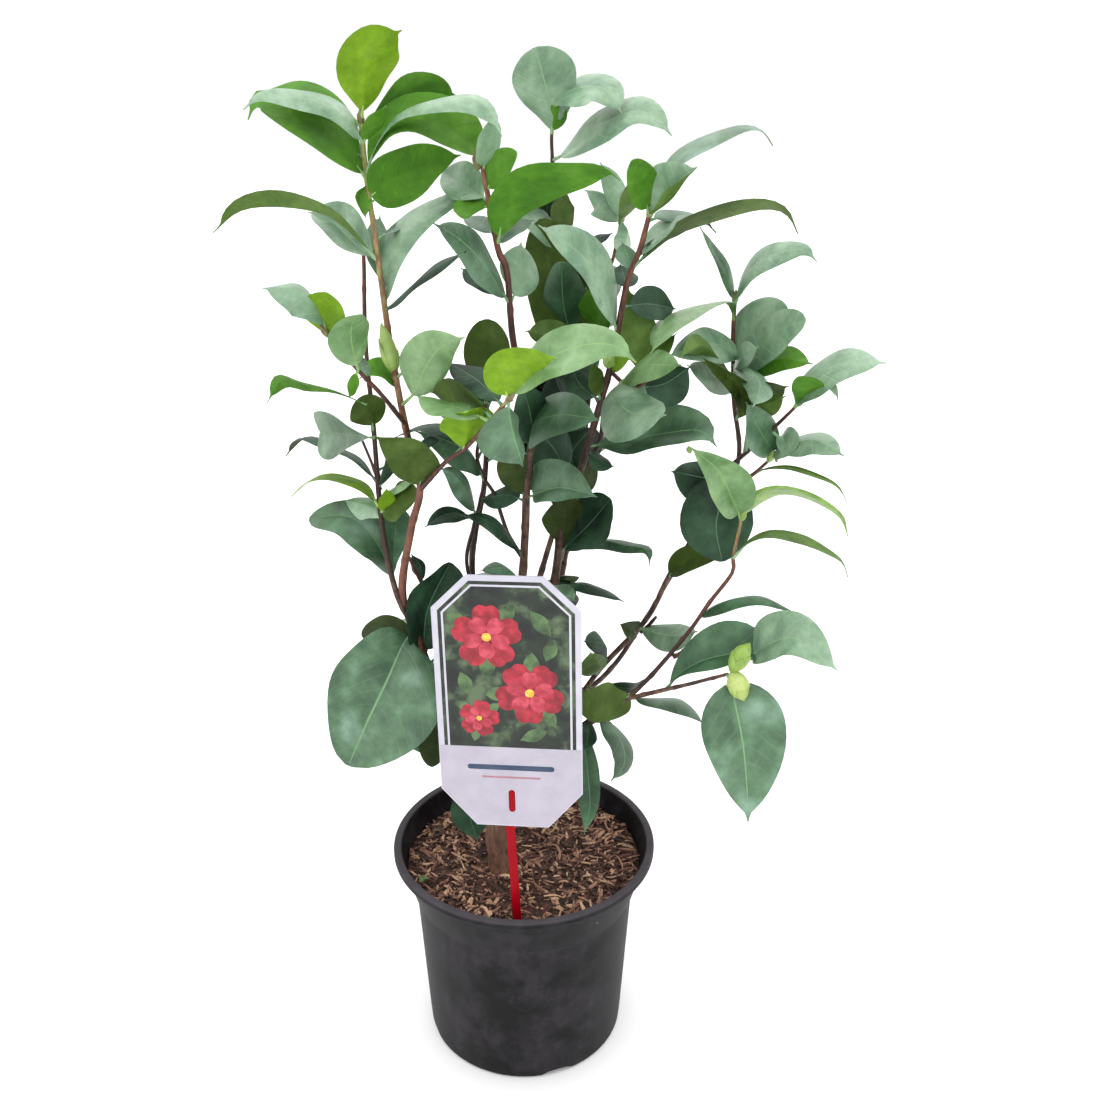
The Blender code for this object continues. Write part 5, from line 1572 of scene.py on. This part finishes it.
def join_layer(name, parts):
    """Joins the marks of one ink into one piece."""
    select_only(*parts)
    bpy.ops.object.join()
    parts[0].name = name
    return parts[0]


PANEL_TOP = -26.5 * MM
card = octagon("card_sheet", 0, -HALF_CARD, HALF_CARD, 0, -CARD_THICKNESS)
cut_hole(card, SLOT_WIDTH, SLOT_HEIGHT, SLOT_MIDDLE)
face_outward(card)
printed(card, ink_finish("white card sheet", "#bfbdc9", "#c8c6d1", 60.0))
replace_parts(card, "label_card")

panel = octagon("card_panel", 0.6 * MM, -HALF_CARD, PANEL_TOP, INK, INK)
cut_hole(panel, SLOT_WIDTH + 1 * MM, SLOT_HEIGHT + 1 * MM, SLOT_MIDDLE)
printed(panel, ink_finish("lilac ink", "#aca6b4", "#b6b0be", 70.0))
# The picture field, the white line on it and the field inside the line: inset in mm, layer and ink.
for name, inset, layer, *ink in (
    ("card_field", 3.4, 1, "dark leaf green ink", "#0d1410", "#4c5f40", 75.0, 0.42, "#1c281b"),
    ("card_line", 5.4, 2, "white ink", "#c0becb", "#cac8d3", 60.0),
    ("card_inner_field", 6.6, 3, "picture field ink", "#0b120e", "#56694a", 62.0, 0.42, "#1c2a1d"),
):
    printed(octagon(name, inset * MM, PANEL_TOP, HALF_CARD, layer * INK, INK), ink_finish(*ink))


def disc(corners, radius):
    """A flat round mark."""
    bpy.ops.object.select_all(action="DESELECT")
    bpy.ops.mesh.primitive_circle_add(vertices=corners, radius=radius, fill_type="NGON", location=(0, 0, 0))
    return bpy.context.object


def laid(mark, *moves):
    """A mark, moved by each of these in turn."""
    for move in moves:
        mark.data.transform(move)
    return mark


def blade_mark(x, z, length, width, turn):
    """A plain pointed leaf as one printed mark."""
    mark = disc(28, 1)
    for corner in mark.data.vertices:
        corner.co.y *= abs(1 - abs(corner.co.x) ** 2.2)
    return laid(mark, Matrix.Diagonal((length / 2, width / 2, 1, 1)), Matrix.Rotation(turn, 4, "Z"),
        Matrix.Translation((x, z, 0)))


def bar_mark(x, z, width, height):
    """A plain bar with round ends."""
    mark = disc(24, height / 2)
    for corner in mark.data.vertices:
        corner.co.x += math.copysign((width - height) / 2, corner.co.x)
    return laid(mark, Matrix.Translation((x, z, 0)))


def petal_mark(x, z, reach, width, turn):
    """One broad petal of a plain five-petalled flower, notched at its outer edge."""
    mark = disc(36, 1)
    for corner in mark.data.vertices:
        out = (corner.co.x + 1) / 2
        corner.co.y *= 0.45 + 0.6 * out
        corner.co.x -= 0.16 * max(0, 1 - abs(corner.co.y) / 0.35) * out ** 6
    return laid(mark, Matrix.Diagonal((reach / 2, width / 2, 1, 1)), Matrix.Translation((reach / 2, 0, 0)),
        Matrix.Rotation(turn, 4, "Z"), Matrix.Translation((x, z, 0)))


def raise_marks(name, marks, level):
    """Gives joined marks the thickness of ink, and stands them on the card's front."""
    joined = join_layer(name, marks)
    edit_all()
    bpy.ops.mesh.extrude_region_move(TRANSFORM_OT_translate={"value": (0, 0, INK)})
    bpy.ops.object.mode_set(mode="OBJECT")
    face_outward(joined)
    joined.data.transform(Matrix.Translation((0, -level, 0)) @ Matrix.Rotation(math.pi / 2, 4, "X"))
    return joined


# Plain flowers at three corners of a triangle, each with two leaves behind it.
FLOWERS = [(-11 * MM, 43 * MM, 20 * MM, 0.3), (12 * MM, 9 * MM, 20 * MM, 0.9),
    (-17 * MM, -8 * MM, 12 * MM, 0.1)]
leaf_marks, back_petals, front_petals, hearts = [], [], [], []
for x, z, size, turn in FLOWERS:
    for lean in (0.6, 2.3, 4.4):
        way = turn + lean
        leaf_marks.append(blade_mark(x + math.cos(way) * size * 0.9, z + math.sin(way) * size * 0.9,
            size * 0.8, size * 0.45, way))
    for number in range(5):
        way = turn + number * 2 * math.pi / 5
        back_petals.append(petal_mark(x, z, size, size * 0.98, way))
        front_petals.append(petal_mark(x, z, size * 0.68, size * 0.55, way + 0.63))
    hearts.append(bar_mark(x, z, size * 0.26, size * 0.25))
leaf_marks += [blade_mark(19 * MM, 52 * MM, 20 * MM, 9 * MM, 2.2),
    blade_mark(24 * MM, 36 * MM, 15 * MM, 8 * MM, 1.2), blade_mark(14 * MM, -18 * MM, 18 * MM, 8 * MM, 0.4),
    blade_mark(-24 * MM, 14 * MM, 16 * MM, 8 * MM, 1.9)]
wide_bar = bar_mark(0, -40 * MM, 50 * MM, 3.4 * MM)
thin_bar = bar_mark(0, -46.5 * MM, 34 * MM, 1.3 * MM)
# Each ink: its piece, its marks, the layer it lies on, and its finish.
for name, marks, layer, *ink in (
    ("leaves", leaf_marks, 4, "mid green ink", "#2c4426", "#5d7a4c", 110.0),
    ("petals", back_petals, 5, "red petal ink", "#7c0f1f", "#b8283d", 130.0, 0.42, "#9a1a2c"),
    ("inner_petals", front_petals, 6, "rose petal ink", "#9e2134", "#c94a5c", 150.0, 0.42, "#b33246"),
    ("hearts", hearts, 7, "yellow ink", "#d9a52c", "#f0cf5c", 300.0),
    ("wide_bar", [wide_bar], 2, "slate blue ink", "#283a56", "#36485f", 90.0),
    ("thin_bar", [thin_bar], 2, "dusty rose ink", "#a0707c", "#ac7e89", 90.0),
):
    printed(raise_marks("printed_" + name, marks, layer * INK), ink_finish(*ink))


# ---- Label stick ------------------------------------------------------------------------------------
# A flat moulded stick of red polystyrene with a groove down its face. It is pushed into the compost,
# stands up behind the card, and its tab clips through the card's slot.
STICK_WIDTH = 5.2 * MM
STICK_DEPTH = 2 * MM
STICK_FOOT = Vector((-2.6, -68, 124)) * MM
STICK_BURIED = 24 * MM
stick_head = CARD_PLACE @ Vector((-2.6 * MM, CARD_THICKNESS + 0.3 * MM, SLOT_MIDDLE + 0.6 * SLOT_HEIGHT))
stick_way = (stick_head - STICK_FOOT).normalized()
stick_foot = STICK_FOOT - stick_way * STICK_BURIED
bpy.ops.object.select_all(action="DESELECT")
bpy.ops.mesh.primitive_cube_add(size=1, location=(0, 0, 0))
stick = bpy.context.object
stick.name = "stick_moulding"
stick_length = (stick_head - stick_foot).length
stick.data.transform(Matrix.Diagonal((STICK_WIDTH, STICK_DEPTH, stick_length, 1)))
stick.data.transform(Matrix.Translation((0, STICK_DEPTH / 2, stick_length / 2)))
bpy.ops.object.mode_set(mode="EDIT")
bpy.ops.mesh.select_mode(type="FACE")
bpy.ops.mesh.select_all(action="DESELECT")
bpy.ops.object.mode_set(mode="OBJECT")
for side in stick.data.polygons:
    side.select = abs(side.normal.y) > 0.9
bpy.ops.object.mode_set(mode="EDIT")
bpy.ops.mesh.inset(thickness=1.5 * MM, depth=-0.45 * MM, use_individual=True)
bpy.ops.object.mode_set(mode="OBJECT")
rounding = stick.modifiers.new("rounding", "BEVEL")
rounding.width = 0.35 * MM
rounding.segments = 2
bpy.ops.object.modifier_apply(modifier=rounding.name)
lean = Vector((0, 0, 1)).rotation_difference(stick_way).to_matrix().to_4x4()
stick.data.transform(Matrix.Translation(stick_foot) @ lean)
bpy.ops.object.shade_smooth_by_angle(angle=math.radians(35))
bpy.ops.object.select_all(action="DESELECT")
bpy.ops.mesh.primitive_cylinder_add(vertices=24, radius=SLOT_WIDTH / 2 - 0.3 * MM, depth=2.8 * MM,
    location=(0, 0, 0))
tab = bpy.context.object
for corner in tab.data.vertices:
    corner.co.y += math.copysign((SLOT_HEIGHT - SLOT_WIDTH) / 2, corner.co.y)
tab_rounding = tab.modifiers.new("rounding", "BEVEL")
tab_rounding.width = 0.4 * MM
tab_rounding.segments = 3
tab_rounding.limit_method = "ANGLE"
bpy.ops.object.modifier_apply(modifier=tab_rounding.name)
tab.data.transform(CARD_PLACE @ Matrix.Translation((0, 0.65 * MM,
    SLOT_MIDDLE)) @ Matrix.Rotation(math.pi / 2, 4, "X"))
select_only(stick, tab)
bpy.ops.object.join()
# Injection-moulded polystyrene: a clear signal red, glossy, with faint flow lines.
red_plastic, tree, shader, place_on = finish_named("red polystyrene")
flow_at = node(tree, "Mapping", {"Vector": place_on, "Scale": (1.0, 1.0, 0.15)})
flow = node(tree, "TexNoise", {"Vector": flow_at, "Scale": 500.0, "Detail": 2.0})
red_mix = node(tree, "Mix", {0: flow, 6: linear("#8a0210"), 7: linear("#a40819")}, data_type="RGBA")
flow_bump = node(tree, "Bump", {"Strength": 0.15, "Distance": 0.0002, "Height": flow})
feed(tree, shader, {"Base Color": red_mix, "Normal": flow_bump, "Roughness": 0.3,
    "Specular IOR Level": 0.1})
stick.data.materials.clear()
stick.data.materials.append(red_plastic)
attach(stick, "root")
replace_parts(stick, "label_stick")
